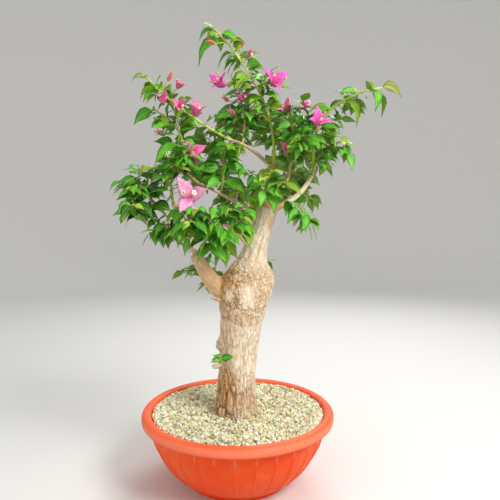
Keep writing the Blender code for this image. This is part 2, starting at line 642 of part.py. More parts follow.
class Grower:
    """Grows one spray by the seeded rule, keeping clear of all that stands already."""

    def __init__(self, spray, path, space):
        self.spray = spray
        self.path = path
        self.space = space
        self.radii = (spray.radii[0] * MM, spray.radii[1] * MM)
        self.random = random.Random(spray.seed)
        self.stems = [(spray.name + "_stem", path, self.radii, FIRST_NODE)]
        path.rings = max(3, round(path.length() / STEM_RING_STEP))
        self.pieces = [sweep(path, self.radii, STEM_SIDES)]

    def reserve_stem(self):
        """Take the room of the stem."""
        grown = sweep(self.path, self.radii, STEM_SIDES, LEAF_MARGIN)
        self.space.add(grown, self.spray.name + "_stem")
        grown.free()

    def accept(self, make, tag, allowed, probe=None):
        """Keep a piece if there is room for it, and say whether it was kept."""
        grown = make(LEAF_MARGIN)
        free = self.space.is_free(grown, allowed)
        grown.free()
        if free and probe:
            free = self.space.is_free(probe)
            probe.free()
        if free:
            piece = make(0.0)
            self.space.add(piece, tag)
            self.pieces.append(piece)
        return free

    def grow_twigs(self):
        """Side twigs, spread along the stem and turned by the golden angle."""
        spray = self.spray
        stem_tag, path, radii, _ = self.stems[0]
        phase = self.random.uniform(0, math.tau)
        for i in range(spray.twigs):
            at = TWIG_ZONE[0] + (TWIG_ZONE[1] - TWIG_ZONE[0]) * (i + 0.5) / spray.twigs
            length = spray.twig_length * MM * self.random.uniform(0.8, 1.15) * (1.1 - 0.4 * at)
            tilt = self.random.uniform(*TWIG_TILT)
            rise = self.random.uniform(*TWIG_RISE)
            radius = radii[0] + (radii[1] - radii[0]) * at
            for turn in range(TURNS_TRIED):
                azimuth = phase + i * GOLDEN_TURN + turn * TWIG_TURN
                tangent = path.tangent(at)
                way = (outward(tangent, azimuth) + tangent * tilt + UP * rise).normalized()
                start = path.point(at) - way * (0.4 * radius)
                twig = Path(start, way * length, UP * (0.1 * length), unit=1.0, rings=1)
                sizes = (0.8 * radius, 0.6 * radius)
                tag = f"{spray.name}_twig_{i}"

                def make(grow, twig=twig, sizes=sizes):
                    return sweep(twig, sizes, TWIG_SIDES, grow)

                if self.accept(make, tag, (stem_tag,)):
                    self.stems.append((tag, twig, sizes, 0.6 * FIRST_NODE))
                    break

    def grow_blooms(self):
        """Blossom on short stalks."""
        stem_tag, path, radii, _ = self.stems[0]
        for number, (at, offset, size) in enumerate(self.spray.blooms):
            start = path.point(at)
            mouth = Vector(offset) * MM
            mouth *= max(0.35, 1 - 0.35 * size * MM / mouth.length)
            stalk = Path(start, mouth, UP * (0.08 * mouth.length), unit=1.0, rings=1)
            sizes = (0.55 * radii[1], 0.5 * radii[1])
            tag = f"{self.spray.name}_bloom_{number}"

            def make(grow, stalk=stalk, sizes=sizes):
                return sweep(stalk, sizes, TWIG_SIDES, grow)

            def make_cup(grow, stalk=stalk, size=size * MM, turn=number):
                return bloom_bmesh(stalk.curve(1.0), stalk.tangent(1.0), size, turn, grow)

            cup = make_cup(LEAF_MARGIN)
            if self.space.is_free(cup) and self.accept(make, tag, (stem_tag,)):
                self.accept(make_cup, tag, (tag,))
            cup.free()

    def grow_chief_leaves(self):
        """The leaves that stand out of the outline, each one arched from its node to its tip."""
        tag, path, radii, _ = self.stems[0]
        for at, offset in self.spray.leaves:
            reach = Vector(offset) * MM
            flat = Vector((reach.x, reach.y, 0)).normalized()
            size = LEAF_SLACK * reach.length
            out = (reach.normalized() + flat * CHIEF_FLAT + UP * CHIEF_RISE).normalized()
            hang = (reach - out * (LEAF_SHOULDER * size)).normalized()
            side = out.cross(UP).normalized()
            radius = radii[0] + (radii[1] - radii[0]) * at
            root = path.point(at) - out * (0.3 * radius)
            self.try_leaf(tag, root, out, hang, side, size, radius)

    def try_leaf(self, tag, root, out, hang, side, size, radius):
        """Keep a leaf if it finds room, and say whether it did."""

        def make(grow, root=root):
            return leaf_bmesh(root, out, hang, side, size, size * LEAF_WIDTH,
                              size * LEAF_THICKNESS, LEAF_FOLD, grow)

        probe = make(LEAF_MARGIN, root + out * (2.5 * radius + LEAF_MARGIN))
        return self.accept(make, f"{tag}_leaf", (tag,), probe)

    def grow_leaves(self):
        """Alternate leaves along the stem and the twigs, and one at each tip."""
        spray = self.spray
        for tag, path, radii, first in self.stems:
            length = path.length()
            count = max(2, round((length - first) / (spray.spacing * MM)))
            phase = self.random.uniform(0, math.tau)
            for i in range(count + 1):
                at = min((first + (length - first) * i / count) / length, STEM_END)
                draws = [self.random.uniform(-1, 1) for _ in range(4)]
                size = spray.leaf[0] + (spray.leaf[1] - spray.leaf[0]) * at
                size *= 1 + LEAF_SPREAD * draws[0]
                azimuth = phase + i * GOLDEN_TURN + 0.3 * draws[1]
                radius = radii[0] + (radii[1] - radii[0]) * at
                self.place_leaf(tag, path, at, size * MM, azimuth, radius, draws, i == count)

    def place_leaf(self, tag, path, at, size, azimuth, radius, draws, last):
        """Try a leaf at one node of a stem, turned on until it finds room."""
        tangent = path.tangent(at)
        point = path.point(at)
        droop = min(self.spray.droop * (1 + 0.35 * draws[2]), STEEPEST_DROOP)
        for turn in range(TURNS_TRIED):
            radial = outward(tangent, azimuth + turn * LEAF_TURN)
            flat = Vector((radial.x, radial.y, 0.3 * radial.z))
            across = tangent.cross(UP) * math.copysign(0.5, radial.dot(tangent.cross(UP)))
            lean = 1.8 if last else 0.4
            out = (flat + across + tangent * lean + UP * 0.1).normalized()
            hang = (out * (1 - droop) - UP * droop).normalized()
            hang = (hang + out * max(0.0, 0.2 - out.dot(hang))).normalized()
            side = out.cross(UP)
            if side.length < 0.2:
                side = out.cross(radial)
            side.normalize()
            side.rotate(Matrix.Rotation(0.5 * draws[3], 3, out))
            root = point - out * (0.3 * radius)
            if self.try_leaf(tag, root, out, hang, side, size, radius):
                return

    def join(self, parts):
        """Fuse stem, twigs, leaves and blossom into one solid."""
        name = self.spray.name
        pieces = bpy.data.collections.new(name + "_pieces")
        bpy.context.scene.collection.children.link(pieces)
        stem = object_from(self.pieces[0], name, parts)
        for number, piece in enumerate(self.pieces[1:]):
            object_from(piece, f"{name}_piece_{number}", pieces)
        union = stem.modifiers.new("join", "BOOLEAN")
        union.operation = "UNION"
        union.operand_type = "COLLECTION"
        union.collection = pieces
        union.solver = "EXACT"
        apply_modifiers(stem)
        for piece in list(pieces.objects):
            bpy.data.objects.remove(piece, do_unlink=True)
        bpy.data.collections.remove(pieces)
        return stem


def make_limbs(parts, cutters):
    """Trunk and boughs, each one cut clear of what carries it."""
    paths = {"trunk": TrunkPath()}
    solids = {"trunk": object_from(trunk_bmesh(0.0), "trunk", parts)}
    grown = {"trunk": object_from(trunk_bmesh(SEAT_GAP), "trunk_cutter", cutters)}
    for limb in LIMBS:
        start = paths[limb.carrier].point(limb.at)
        path = Path(start, limb.reach, limb.bow, rings=limb.rings)
        radii = (limb.radii[0] * MM, limb.radii[1] * MM)
        shape = (path, radii, limb.sides)
        solid = object_from(sweep(*shape, taper=limb.taper), limb.name, parts)
        cutter = sweep(*shape, SEAT_GAP, limb.taper)
        paths[limb.name] = path
        solids[limb.name] = solid
        grown[limb.name] = object_from(cutter, limb.name + "_cutter", cutters)
        for carrier in (limb.carrier, *limb.cut_by):
            cut(solid, grown[carrier])
    for cutter in grown.values():
        hide_cutter(cutter)
    return paths, solids, grown


def make_sprays(parts, paths, solids, grown):
    """Every mass of leaves, grown in turns so that each one keeps its own space."""
    space = Space()
    for name, cutter in grown.items():
        bm = bmesh.new()
        bm.from_mesh(cutter.data)
        space.add(bm, name)
        bm.free()
    growers = []
    for spray in SPRAYS:
        carrier = paths[spray.carrier]
        at = min(spray.at, STEM_END)
        path = Path(carrier.point(at), spray.reach, spray.bow, spray.sway)
        growers.append(Grower(spray, path, space))
    for stage in ("reserve_stem", "grow_blooms", "grow_chief_leaves", "grow_twigs", "grow_leaves"):
        for grower in growers:
            getattr(grower, stage)()
    for grower in growers:
        mass = grower.join(parts)
        cut(mass, grown[grower.spray.carrier])
        apply_modifiers(mass)
        solids[grower.spray.name] = mass


def main():
    """Build the whole plant in its bowl."""
    clear_scene()
    scene = bpy.context.scene
    parts = bpy.data.collections.new(OBJECT_NAME)
    cutters = bpy.data.collections.new("cutters")
    scene.collection.children.link(parts)
    scene.collection.children.link(cutters)
    bowl = make_bowl(parts, cutters)
    gravel = make_gravel(parts, cutters)
    paths, solids, grown = make_limbs(parts, cutters)
    limb_names = list(solids)
    make_sprays(parts, paths, solids, grown)
    bowl.data.materials.append(make_material("bowl", "bowl"))
    gravel.data.materials.append(make_material("gravel_bed", "gravel"))
    for name, item in solids.items():
        finish = "bark" if name in limb_names else "spray"
        item.data.materials.clear()
        item.data.materials.append(make_material(name, finish))


main()
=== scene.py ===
"""Looks of a bougainvillea pre-bonsai: furrowed trunk, sawn limbs, leafy shoots, bracts and bowl.

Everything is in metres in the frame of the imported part: +Z up, the origin at the centre of the
bowl's underside, +Y away from the side that the plant is seen from.
"""
import logging
import math
import random
from collections import defaultdict
from dataclasses import dataclass, field
from enum import Enum
from typing import Callable, Iterable, Sequence

import bmesh
import bpy
import numpy as np
from mathutils import Matrix, Vector, noise
from mathutils.bvhtree import BVHTree


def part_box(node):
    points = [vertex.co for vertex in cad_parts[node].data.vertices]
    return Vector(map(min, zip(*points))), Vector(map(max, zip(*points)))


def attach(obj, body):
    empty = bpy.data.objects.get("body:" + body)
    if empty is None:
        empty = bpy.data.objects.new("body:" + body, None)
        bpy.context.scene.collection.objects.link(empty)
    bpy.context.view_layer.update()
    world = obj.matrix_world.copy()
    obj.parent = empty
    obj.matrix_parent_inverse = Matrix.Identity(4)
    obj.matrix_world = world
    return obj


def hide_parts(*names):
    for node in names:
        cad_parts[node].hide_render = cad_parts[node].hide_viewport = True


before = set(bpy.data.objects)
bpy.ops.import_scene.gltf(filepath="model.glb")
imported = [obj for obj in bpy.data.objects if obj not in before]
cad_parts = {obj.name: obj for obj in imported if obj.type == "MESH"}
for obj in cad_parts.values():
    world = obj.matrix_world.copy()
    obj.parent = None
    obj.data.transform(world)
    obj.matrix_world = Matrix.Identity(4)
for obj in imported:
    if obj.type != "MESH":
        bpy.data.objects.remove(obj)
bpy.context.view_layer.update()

LOG = logging.getLogger("bougainvillea")

MM = 0.001
UP = Vector((0.0, 0.0, 1.0))
BODY = "root"
GOLDEN_TURN = math.radians(137.5)
BLADE_COLUMNS = 4
STAR_EYE = 0.36
Socket = bpy.types.NodeSocket
BMesh = bmesh.types.BMesh


def srgb(red: int, green: int, blue: int) -> tuple[float, float, float, float]:
    """Linear colour of display values from 0 to 255.

    Args:
        red: Display value of red.
        green: Display value of green.
        blue: Display value of blue.

    Returns:
        The colour as a shader takes it, opaque.
    """
    shares = [value / 255 for value in (red, green, blue)]
    linear = [s / 12.92 if s <= 0.04045 else ((s + 0.055) / 1.055) ** 2.4 for s in shares]
    return (*linear, 1.0)


class Shader:
    """One material's node tree, with short calls for the nodes that the finishes use."""

    def __init__(self, name: str, roughness: float, specular: float = 0.5) -> None:
        """Start a Principled material.

        Args:
            name: Name of the material.
            roughness: Roughness set on the shader's own socket.
            specular: Specular level set on the shader's own socket.
        """
        self.material = bpy.data.materials.new(name)
        self.material.use_nodes = True
        self.tree = self.material.node_tree
        self.base = self.tree.nodes["Principled BSDF"]
        self.base.inputs["Roughness"].default_value = roughness
        self.base.inputs["Specular IOR Level"].default_value = specular
        self.place = self.node("ShaderNodeTexCoord").outputs["Object"]

    def node(self, kind: str) -> bpy.types.Node:
        """Add a node of a kind."""
        return self.tree.nodes.new(kind)

    def link(self, source: Socket, target: Socket) -> None:
        """Join two sockets."""
        self.tree.links.new(source, target)

    def attribute(self, name: str, output: str = "Vector") -> Socket:
        """Read an attribute of the mesh.

        Args:
            name: Name of the attribute.
            output: Which of the node's outputs is wanted.

        Returns:
            The socket with the attribute's value.
        """
        reader = self.node("ShaderNodeAttribute")
        reader.attribute_name = name
        return reader.outputs[output]

    def stretched(self, scale: Sequence[float], source: Socket = None) -> Socket:
        """Scale the coordinates of a pattern along each axis.

        Args:
            scale: Factor along X, Y and Z.
            source: Coordinates to scale, the object's own where none are given.

        Returns:
            The scaled coordinates.
        """
        mapping = self.node("ShaderNodeMapping")
        mapping.inputs["Scale"].default_value = scale
        self.link(source or self.place, mapping.inputs["Vector"])
        return mapping.outputs["Vector"]

    def noise(self, scale: float, detail: float, rough: float, at: Socket = None,
              output: str = "Fac") -> Socket:
        """Add a noise pattern.

        Args:
            scale: Scale of the pattern.
            detail: Octaves of the pattern.
            rough: Share that each octave keeps.
            at: Coordinates, the object's own where none are given.
            output: Which of the node's outputs is wanted.

        Returns:
            The pattern's value.
        """
        pattern = self.node("ShaderNodeTexNoise")
        pattern.inputs["Scale"].default_value = scale
        pattern.inputs["Detail"].default_value = detail
        pattern.inputs["Roughness"].default_value = rough
        self.link(at or self.place, pattern.inputs["Vector"])
        return pattern.outputs[output]

    def cells(self, scale: Sequence[float], bend: float, at: Socket) -> Socket:
        """Add the distance to the edges of long cells with bent sides.

        Args:
            scale: Cells for each metre along each axis.
            bend: How far the sides are bent, in shares of a cell.
            at: Coordinates.

        Returns:
            The distance, 0 on an edge.
        """
        place = self.stretched(scale, at)
        shift = self.node("ShaderNodeVectorMath")
        shift.operation = "MULTIPLY_ADD"
        self.link(self.noise(1.7, 4.0, 0.5, place, "Color"), shift.inputs[0])
        shift.inputs[1].default_value = (bend, bend, bend)
        self.link(place, shift.inputs[2])
        pattern = self.node("ShaderNodeTexVoronoi")
        pattern.feature = "DISTANCE_TO_EDGE"
        pattern.inputs["Scale"].default_value = 1.0
        self.link(shift.outputs["Vector"], pattern.inputs["Vector"])
        return pattern.outputs["Distance"]

    def feed(self, value: object, target: Socket) -> None:
        """Link a socket to an input, or set the input to a value.

        Args:
            value: The socket or the value.
            target: The input.
        """
        if isinstance(value, Socket):
            self.link(value, target)
        else:
            target.default_value = value

    def ramp(self, value: Socket, stops: Sequence[tuple]) -> Socket:
        """Turn a value into a new one.

        Args:
            value: The value to read.
            stops: Pairs of place and new value, in rising order.

        Returns:
            The new value.
        """
        ramp = self.node("ShaderNodeValToRGB")
        elements = ramp.color_ramp.elements
        while len(elements) < len(stops):
            elements.new(0.5)
        for element, (place, level) in zip(elements, stops):
            element.position = place
            element.color = (level, level, level, 1.0)
        self.link(value, ramp.inputs["Fac"])
        return ramp.outputs["Color"]

    def mix(self, share: Socket, low: object, high: object) -> Socket:
        """Mix two colours, each of them a socket or a value.

        Args:
            share: How much of the second colour shows.
            low: First colour.
            high: Second colour.

        Returns:
            The mixed colour.
        """
        mixer = self.node("ShaderNodeMix")
        mixer.data_type = "RGBA"
        self.link(share, mixer.inputs["Factor"])
        self.feed(low, mixer.inputs[6])
        self.feed(high, mixer.inputs[7])
        return mixer.outputs[2]

    def math(self, how: str, first: Socket, second: object = 0.0) -> Socket:
        """Work out a value from one or two others.

        Args:
            how: Operation of the node.
            first: The first value.
            second: The second value, a socket or a number.

        Returns:
            The result.
        """
        node = self.node("ShaderNodeMath")
        node.operation = how
        self.link(first, node.inputs[0])
        self.feed(second, node.inputs[1])
        return node.outputs[0]

    def colour(self, value: object) -> None:
        """Set the base colour from a socket or a value."""
        self.feed(value, self.base.inputs["Base Color"])

    def roughness(self, value: Socket, low: float, high: float) -> None:
        """Vary the roughness between two values with a pattern.

        Args:
            value: The pattern.
            low: Roughness where it is 0.
            high: Roughness where it is 1.
        """
        self.link(self.ramp(value, ((0.0, low), (1.0, high))), self.base.inputs["Roughness"])

    def bump(self, height: Socket, distance: float, strength: float = 1.0) -> None:
        """Raise the surface with a pattern, on top of any bump that is there already.

        Args:
            height: The pattern.
            distance: How far it stands out, in metres.
            strength: Share of the effect.
        """
        bump = self.node("ShaderNodeBump")
        bump.inputs["Strength"].default_value = strength
        bump.inputs["Distance"].default_value = distance
        self.link(height, bump.inputs["Height"])
        target = self.base.inputs["Normal"]
        if target.is_linked:
            self.link(target.links[0].from_socket, bump.inputs["Normal"])
        self.link(bump.outputs["Normal"], target)


@dataclass(frozen=True)
class PlasticFinish:
    """Moulded plastic with dust and a chalky bloom, and a painted highlight on the raised ribs."""

    name: str
    colour: tuple
    faded: tuple
    dust_and_highlight: tuple = srgb(246, 168, 138)

    def make(self) -> bpy.types.Material:
        """Build the material.

        Returns:
            The material.
        """
        shader = Shader(self.name, 0.42, 0.22)
        cloud = shader.noise(16, 4, 0.6)
        body = shader.mix(shader.ramp(cloud, ((0.35, 0.0), (0.7, 1.0))), self.colour, self.faded)
        chalk = shader.noise(46, 7, 0.72, shader.stretched((1, 1, 0.45)))
        dusty = shader.ramp(chalk, ((0.54, 0.0), (0.8, 0.32)))
        # Wear mark: chalky rubbing on the lip and the foot, and a painted highlight on the raised ribs,
        # both in the dust colour.
        wear_and_rib_highlight = shader.attribute("wear_and_rib_highlight", "Fac")
        body = shader.mix(dusty, body, self.dust_and_highlight)
        grit = shader.noise(420, 4, 0.7)
        worn_and_rib_highlight = shader.math("MULTIPLY", wear_and_rib_highlight, shader.ramp(grit, ((0.25, 0.35), (0.7, 1.0))))
        shader.colour(shader.mix(worn_and_rib_highlight, body, self.dust_and_highlight))
        shader.roughness(chalk, 0.36, 0.6)
        shader.bump(grit, 0.06 * MM)
        return shader.material


@dataclass(frozen=True)
class BarkFinish:
    """Bark: pale ridges, warm hollows, dark cracks, fine fibres along the grain and sawn wood, with painted
    shade on the trunk's left side and a painted shadow in the seam's crease.
    """

    name: str
    pale: tuple
    warm: tuple
    split: tuple
    crack: tuple
    sawn: tuple

    def make(self) -> bpy.types.Material:
        """Build the material.

        Returns:
            The material.
        """
        shader = Shader(self.name, 0.78, 0.3)
        grain = shader.attribute("grain")
        tone = shader.attribute("bark", "Color")
        split = shader.node("ShaderNodeSeparateColor")
        shader.link(tone, split.inputs["Color"])
        fibres = shader.noise(1.0, 5, 0.62, shader.stretched((420, 420, 60), grain))
        patches = shader.noise(1.0, 4, 0.6, shader.stretched((60, 60, 28), grain))
        body = shader.mix(shader.ramp(patches, ((0.48, 0.0), (0.75, 0.6))), self.pale, self.warm)
        # Green of the tone: warm bark, which on the trunk's left side is partly painted shade.
        body = shader.mix(split.outputs["Green"], body, self.warm)
        furrowed = shader.attribute("bark", "Alpha")
        wide = shader.cells((120, 120, 34), 1.5, grain)
        slim = shader.cells((300, 300, 95), 1.3, grain)
        split_wide = shader.ramp(wide, ((0.0, 0.75), (0.03, 0.3), (0.07, 0.0)))
        split_slim = shader.ramp(slim, ((0.0, 0.4), (0.05, 0.12), (0.1, 0.0)))
        fissure = shader.math("MULTIPLY", shader.math("MAXIMUM", split_wide, split_slim), furrowed)
        body = shader.mix(fissure, body, self.split)
        body = shader.mix(shader.ramp(fibres, ((0.28, 0.4), (0.52, 0.0))), body, self.crack)
        # Red of the tone: dark cracks, and the painted shadow in the seam's crease.
        body = shader.mix(split.outputs["Red"], body, self.crack)
        rings = shader.noise(300, 3, 0.6)
        cut = shader.mix(rings, self.sawn, self.warm)
        shader.colour(shader.mix(split.outputs["Blue"], body, cut))
        shader.roughness(fibres, 0.66, 0.9)
        shader.bump(fibres, 0.7 * MM)
        shader.bump(fissure, -0.6 * MM)
        shader.bump(shader.noise(620, 4, 0.65), 0.25 * MM)
        return shader.material


@dataclass(frozen=True)
class PlainFinish:
    """One plain colour with a little mottle and a fine relief, as on the skin of a shoot."""

    name: str
    colour: tuple
    mottle: tuple
    roughness: float = 0.55
    specular: float = 0.4
    scale: float = 420
    detail: float = 3
    spread: tuple = ((0.42, 0.0), (0.66, 0.8))
    relief: float = 0.15 * MM
    sheen: float = 0.0

    def make(self) -> bpy.types.Material:
        """Build the material.

        Returns:
            The material.
        """
        shader = Shader(self.name, self.roughness, self.specular)
        if self.sheen:
            shader.base.inputs["Sheen Weight"].default_value = self.sheen
            shader.base.inputs["Sheen Roughness"].default_value = 0.4
        spots = shader.noise(self.scale, self.detail, 0.6)
        shader.colour(shader.mix(shader.ramp(spots, self.spread), self.colour, self.mottle))
        shader.bump(spots, self.relief)
        return shader.material


@dataclass(frozen=True)
class PetalFinish(PlainFinish):
    """Papery bract or flower tube, with a soft sheen."""

    roughness: float = 0.5
    specular: float = 0.35
    scale: float = 240
    detail: float = 4
    spread: tuple = ((0.35, 0.0), (0.68, 1.0))
    relief: float = 0.2 * MM
    sheen: float = 0.25


@dataclass(frozen=True)
class StoneFinish(PlainFinish):
    """Gravel of one colour, with a grainy skin."""

    roughness: float = 0.85
    specular: float = 0.3
    scale: float = 900
    spread: tuple = ((0.4, 0.0), (0.68, 1.0))
    relief: float = 0.2 * MM


@dataclass(frozen=True)
class LeafFinish:
    """A leaf's face: one plain colour, slightly uneven, with a paler rib and fine side veins."""

    name: str
    colour: tuple
    shade: tuple
    rib: tuple = srgb(172, 206, 96)
    roughness: float = 0.42
    coat: float = 0.12
    veins: float = 11.0

    def make(self) -> bpy.types.Material:
        """Build the material.

        Returns:
            The material.
        """
        shader = Shader(self.name, self.roughness, 0.28)
        shader.base.inputs["Coat Weight"].default_value = self.coat
        shader.base.inputs["Coat Roughness"].default_value = 0.35
        form = shader.node("ShaderNodeSeparateXYZ")
        shader.link(shader.attribute("form"), form.inputs[0])
        across = shader.math("ABSOLUTE", form.outputs["X"])
        cells = shader.noise(150, 3, 0.55)
        body = shader.mix(shader.ramp(cells, ((0.35, 0.0), (0.7, 1.0))), self.colour, self.shade)
        slant = shader.math("SUBTRACT", form.outputs["Y"], shader.math("MULTIPLY", across, 0.7))
        wave = shader.math("SINE", shader.math("MULTIPLY", slant, self.veins * math.tau))
        vein = shader.ramp(wave, ((0.7, 0.0), (1.0, 1.0)))
        body = shader.mix(shader.math("MULTIPLY", vein, 0.16), body, self.rib)
        rib = shader.ramp(across, ((0.0, 0.75), (0.03, 0.0)))
        shader.colour(shader.mix(rib, body, self.rib))
        shader.bump(vein, -0.25 * MM, 0.6)
        shader.bump(shader.noise(700, 2, 0.5), 0.12 * MM, 0.7)
        return shader.material


class Tone(Enum):
    """Colours of leaves, from the shaded inside of the crown to the youngest tips."""

    DEEP = 0
    MID = 1
    FRESH = 2
    OLIVE = 3
    YOUNG = 4
    BRONZE = 5
    UNDER = 6


LEAF_FINISHES = (
    LeafFinish("leaf_deep", srgb(26, 84, 8), srgb(42, 104, 16)),
    LeafFinish("leaf_mid", srgb(50, 130, 10), srgb(70, 150, 22)),
    LeafFinish("leaf_fresh", srgb(78, 166, 22), srgb(102, 184, 38)),
    LeafFinish("leaf_olive", srgb(106, 148, 18), srgb(128, 166, 34)),
    LeafFinish("leaf_young", srgb(150, 182, 36), srgb(170, 196, 58)),
    LeafFinish("leaf_bronze", srgb(122, 134, 34), srgb(140, 138, 46)),
    LeafFinish("leaf_underside", srgb(104, 154, 44), srgb(124, 170, 62), roughness=0.5, coat=0.0),
)


class Petal(Enum):
    """Colours of blossom."""

    MAGENTA = 0
    PINK = 1
    PALE = 2
    SALMON = 3
    TUBE = 4
    CREAM = 5
    MOUTH = 6
    EYE = 7


PETAL_FINISHES = (
    PetalFinish("bract_magenta", srgb(230, 66, 184), srgb(244, 112, 208)),
    PetalFinish("bract_pink", srgb(228, 80, 150), srgb(240, 128, 176)),
    PetalFinish("bract_pale", srgb(230, 138, 184), srgb(242, 176, 208)),
    PetalFinish("bract_salmon", srgb(226, 106, 108), srgb(222, 152, 104)),
    PetalFinish("flower_tube", srgb(222, 120, 132), srgb(214, 152, 136)),
    PetalFinish("flower_cream", srgb(248, 244, 206), srgb(252, 250, 228)),
    PetalFinish("flower_mouth", srgb(244, 204, 188), srgb(250, 226, 208)),
    PetalFinish("flower_eye", srgb(214, 204, 84), srgb(192, 188, 70)),
)


class Skin(Enum):
    """Colours of shoots, from woody boughs to green tips."""

    WOODY = 0
    TAN = 1
    GREEN = 2
    LIME = 3


SKIN_FINISHES = (
    PlainFinish("shoot_woody", srgb(212, 182, 142), srgb(176, 138, 100)),
    PlainFinish("shoot_tan", srgb(206, 180, 122), srgb(174, 144, 90)),
    PlainFinish("shoot_green", srgb(132, 158, 60), srgb(156, 150, 76)),
    PlainFinish("shoot_lime", srgb(188, 214, 66), srgb(196, 212, 96)),
)

STONE_FINISHES = (
    StoneFinish("stone_cream", srgb(230, 223, 186), srgb(208, 199, 158)),
    StoneFinish("stone_white", srgb(242, 239, 216), srgb(220, 215, 188)),
    StoneFinish("stone_grey", srgb(200, 199, 172), srgb(174, 173, 146)),
    StoneFinish("stone_sand", srgb(216, 198, 152), srgb(190, 170, 122)),
    StoneFinish("stone_moss", srgb(182, 190, 146), srgb(158, 168, 120)),
    StoneFinish("stone_tan", srgb(190, 158, 114), srgb(162, 130, 90)),
)


@dataclass
class Template:
    """A small shape made once and copied many times: its points, its faces and their slots."""

    points: np.ndarray
    faces: list
    slots: np.ndarray
    smooth: bool = True


def template_from(bm: BMesh, smooth: bool = True) -> Template:
    """Take a template from a bmesh, which is freed.

    Args:
        bm: The shape, whose faces' material indices become its slots.
        smooth: Whether its faces are shaded smooth.

    Returns:
        The template.
    """
    bm.verts.index_update()
    points = np.array([vert.co[:] for vert in bm.verts])
    faces = [tuple(vert.index for vert in face.verts) for face in bm.faces]
    slots = np.array([face.material_index for face in bm.faces])
    bm.free()
    return Template(points, faces, slots, smooth)


def of_kind(items: Iterable, kind: type) -> list:
    """Those of an operator's elements that are of one kind."""
    return [item for item in items if isinstance(item, kind)]


def extruded(bm: BMesh, edges: list) -> tuple[list, list]:
    """Extrude a ring of edges, and give the new edges and points."""
    out = bmesh.ops.extrude_edge_only(bm, edges=edges)["geom"]
    return of_kind(out, bmesh.types.BMEdge), of_kind(out, bmesh.types.BMVert)


def blade_template(rows: Sequence[tuple]) -> Template:
    """Blade with a pointed base and tip: two faces that meet along its margin.

    Args:
        rows: Pairs of share of the length and width, from the base to the tip.

    Returns:
        Template with x across, y along and z at 1 above, -1 below and 0 on the margin.
    """
    bm = bmesh.new()
    bmesh.ops.create_grid(bm, x_segments=BLADE_COLUMNS, y_segments=len(rows) - 1, size=1.0)
    for vert in bm.verts:
        along, width = rows[round((vert.co.y + 1) / 2 * (len(rows) - 1))]
        margin = abs(vert.co.x) > 0.999 or width == 0
        vert.co = Vector((vert.co.x * width / 2, along, 0.0 if margin else 1.0))
    below = bmesh.ops.duplicate(bm, geom=list(bm.verts) + list(bm.edges) + list(bm.faces))["geom"]
    faces = of_kind(below, bmesh.types.BMFace)
    bmesh.ops.reverse_faces(bm, faces=faces)
    for vert in of_kind(below, bmesh.types.BMVert):
        vert.co.z = -vert.co.z
    for face in faces:
        face.material_index = 1
    bmesh.ops.remove_doubles(bm, verts=bm.verts, dist=0.001)
    return template_from(bm)


def tube_template(sides: int, rings: int) -> Template:
    """Unit tube along Z with closed ends.

    Args:
        sides: Faces round it.
        rings: Pieces along it.

    Returns:
        Template with a radius of 1 and z from 0 to 1.
    """
    bm = bmesh.new()
    bmesh.ops.create_circle(bm, cap_ends=True, segments=sides, radius=1.0)
    bmesh.ops.reverse_faces(bm, faces=bm.faces)
    edges = list(bm.edges)
    for _ in range(rings):
        edges, verts = extruded(bm, edges)
        bmesh.ops.translate(bm, verts=verts, vec=(0, 0, 1 / rings))
    bmesh.ops.contextual_create(bm, geom=edges)
    bmesh.ops.recalc_face_normals(bm, faces=bm.faces)
    return template_from(bm)


def stone_template(rng: random.Random, corners: int) -> Template:
    """Crushed stone: the hull of some points on a lumpy ball.

    Args:
        rng: Source of the points.
        corners: How many points are thrown.

    Returns:
        Template about 1 across, flattened a little.
    """
    bm = bmesh.new()
    for _ in range(corners):
        point = Vector([rng.gauss(0, 1) for _ in range(3)]).normalized() * rng.uniform(0.42, 0.56)
        bm.verts.new((point.x, point.y, point.z * 0.8))
    hull = bmesh.ops.convex_hull(bm, input=bm.verts)
    bmesh.ops.delete(bm, geom=of_kind(hull["geom_interior"], bmesh.types.BMVert), context="VERTS")
    bmesh.ops.recalc_face_normals(bm, faces=bm.faces)
    return template_from(bm, smooth=False)


def star_template(points: int, notch: float, depth: float) -> Template:
    """Flat star with a slight cup, closed at the back.

    Args:
        points: Lobes of the star.
        notch: Radius between two lobes, as a share of their own.
        depth: Thickness in shares of the radius.

    Returns:
        Template with its face towards +Z, a radius of 1 and its eye in slot 1.
    """
    bm = bmesh.new()
    rim = bmesh.ops.create_circle(bm, segments=2 * points, radius=1.0)["verts"]
    for i, vert in enumerate(rim):
        vert.co *= notch if i % 2 else 1.0
        vert.co.z = 0.16
    edges, inner = extruded(bm, list(bm.edges))
    for vert in inner:
        vert.co = vert.co.normalized() * STAR_EYE
        vert.co.z = -0.06
    for face in bmesh.ops.contextual_create(bm, geom=edges)["faces"]:
        face.material_index = 1
    solid = bmesh.ops.extrude_face_region(bm, geom=list(bm.faces))["geom"]
    bmesh.ops.translate(bm, verts=of_kind(solid, bmesh.types.BMVert), vec=(0, 0, -depth))
    bmesh.ops.recalc_face_normals(bm, faces=bm.faces)
    return template_from(bm)


def linked(name: str, data: bpy.types.ID) -> bpy.types.Object:
    """New object of the scene that holds a mesh, a light or a camera."""
    item = bpy.data.objects.new(name, data)
    bpy.context.scene.collection.objects.link(item)
    return item


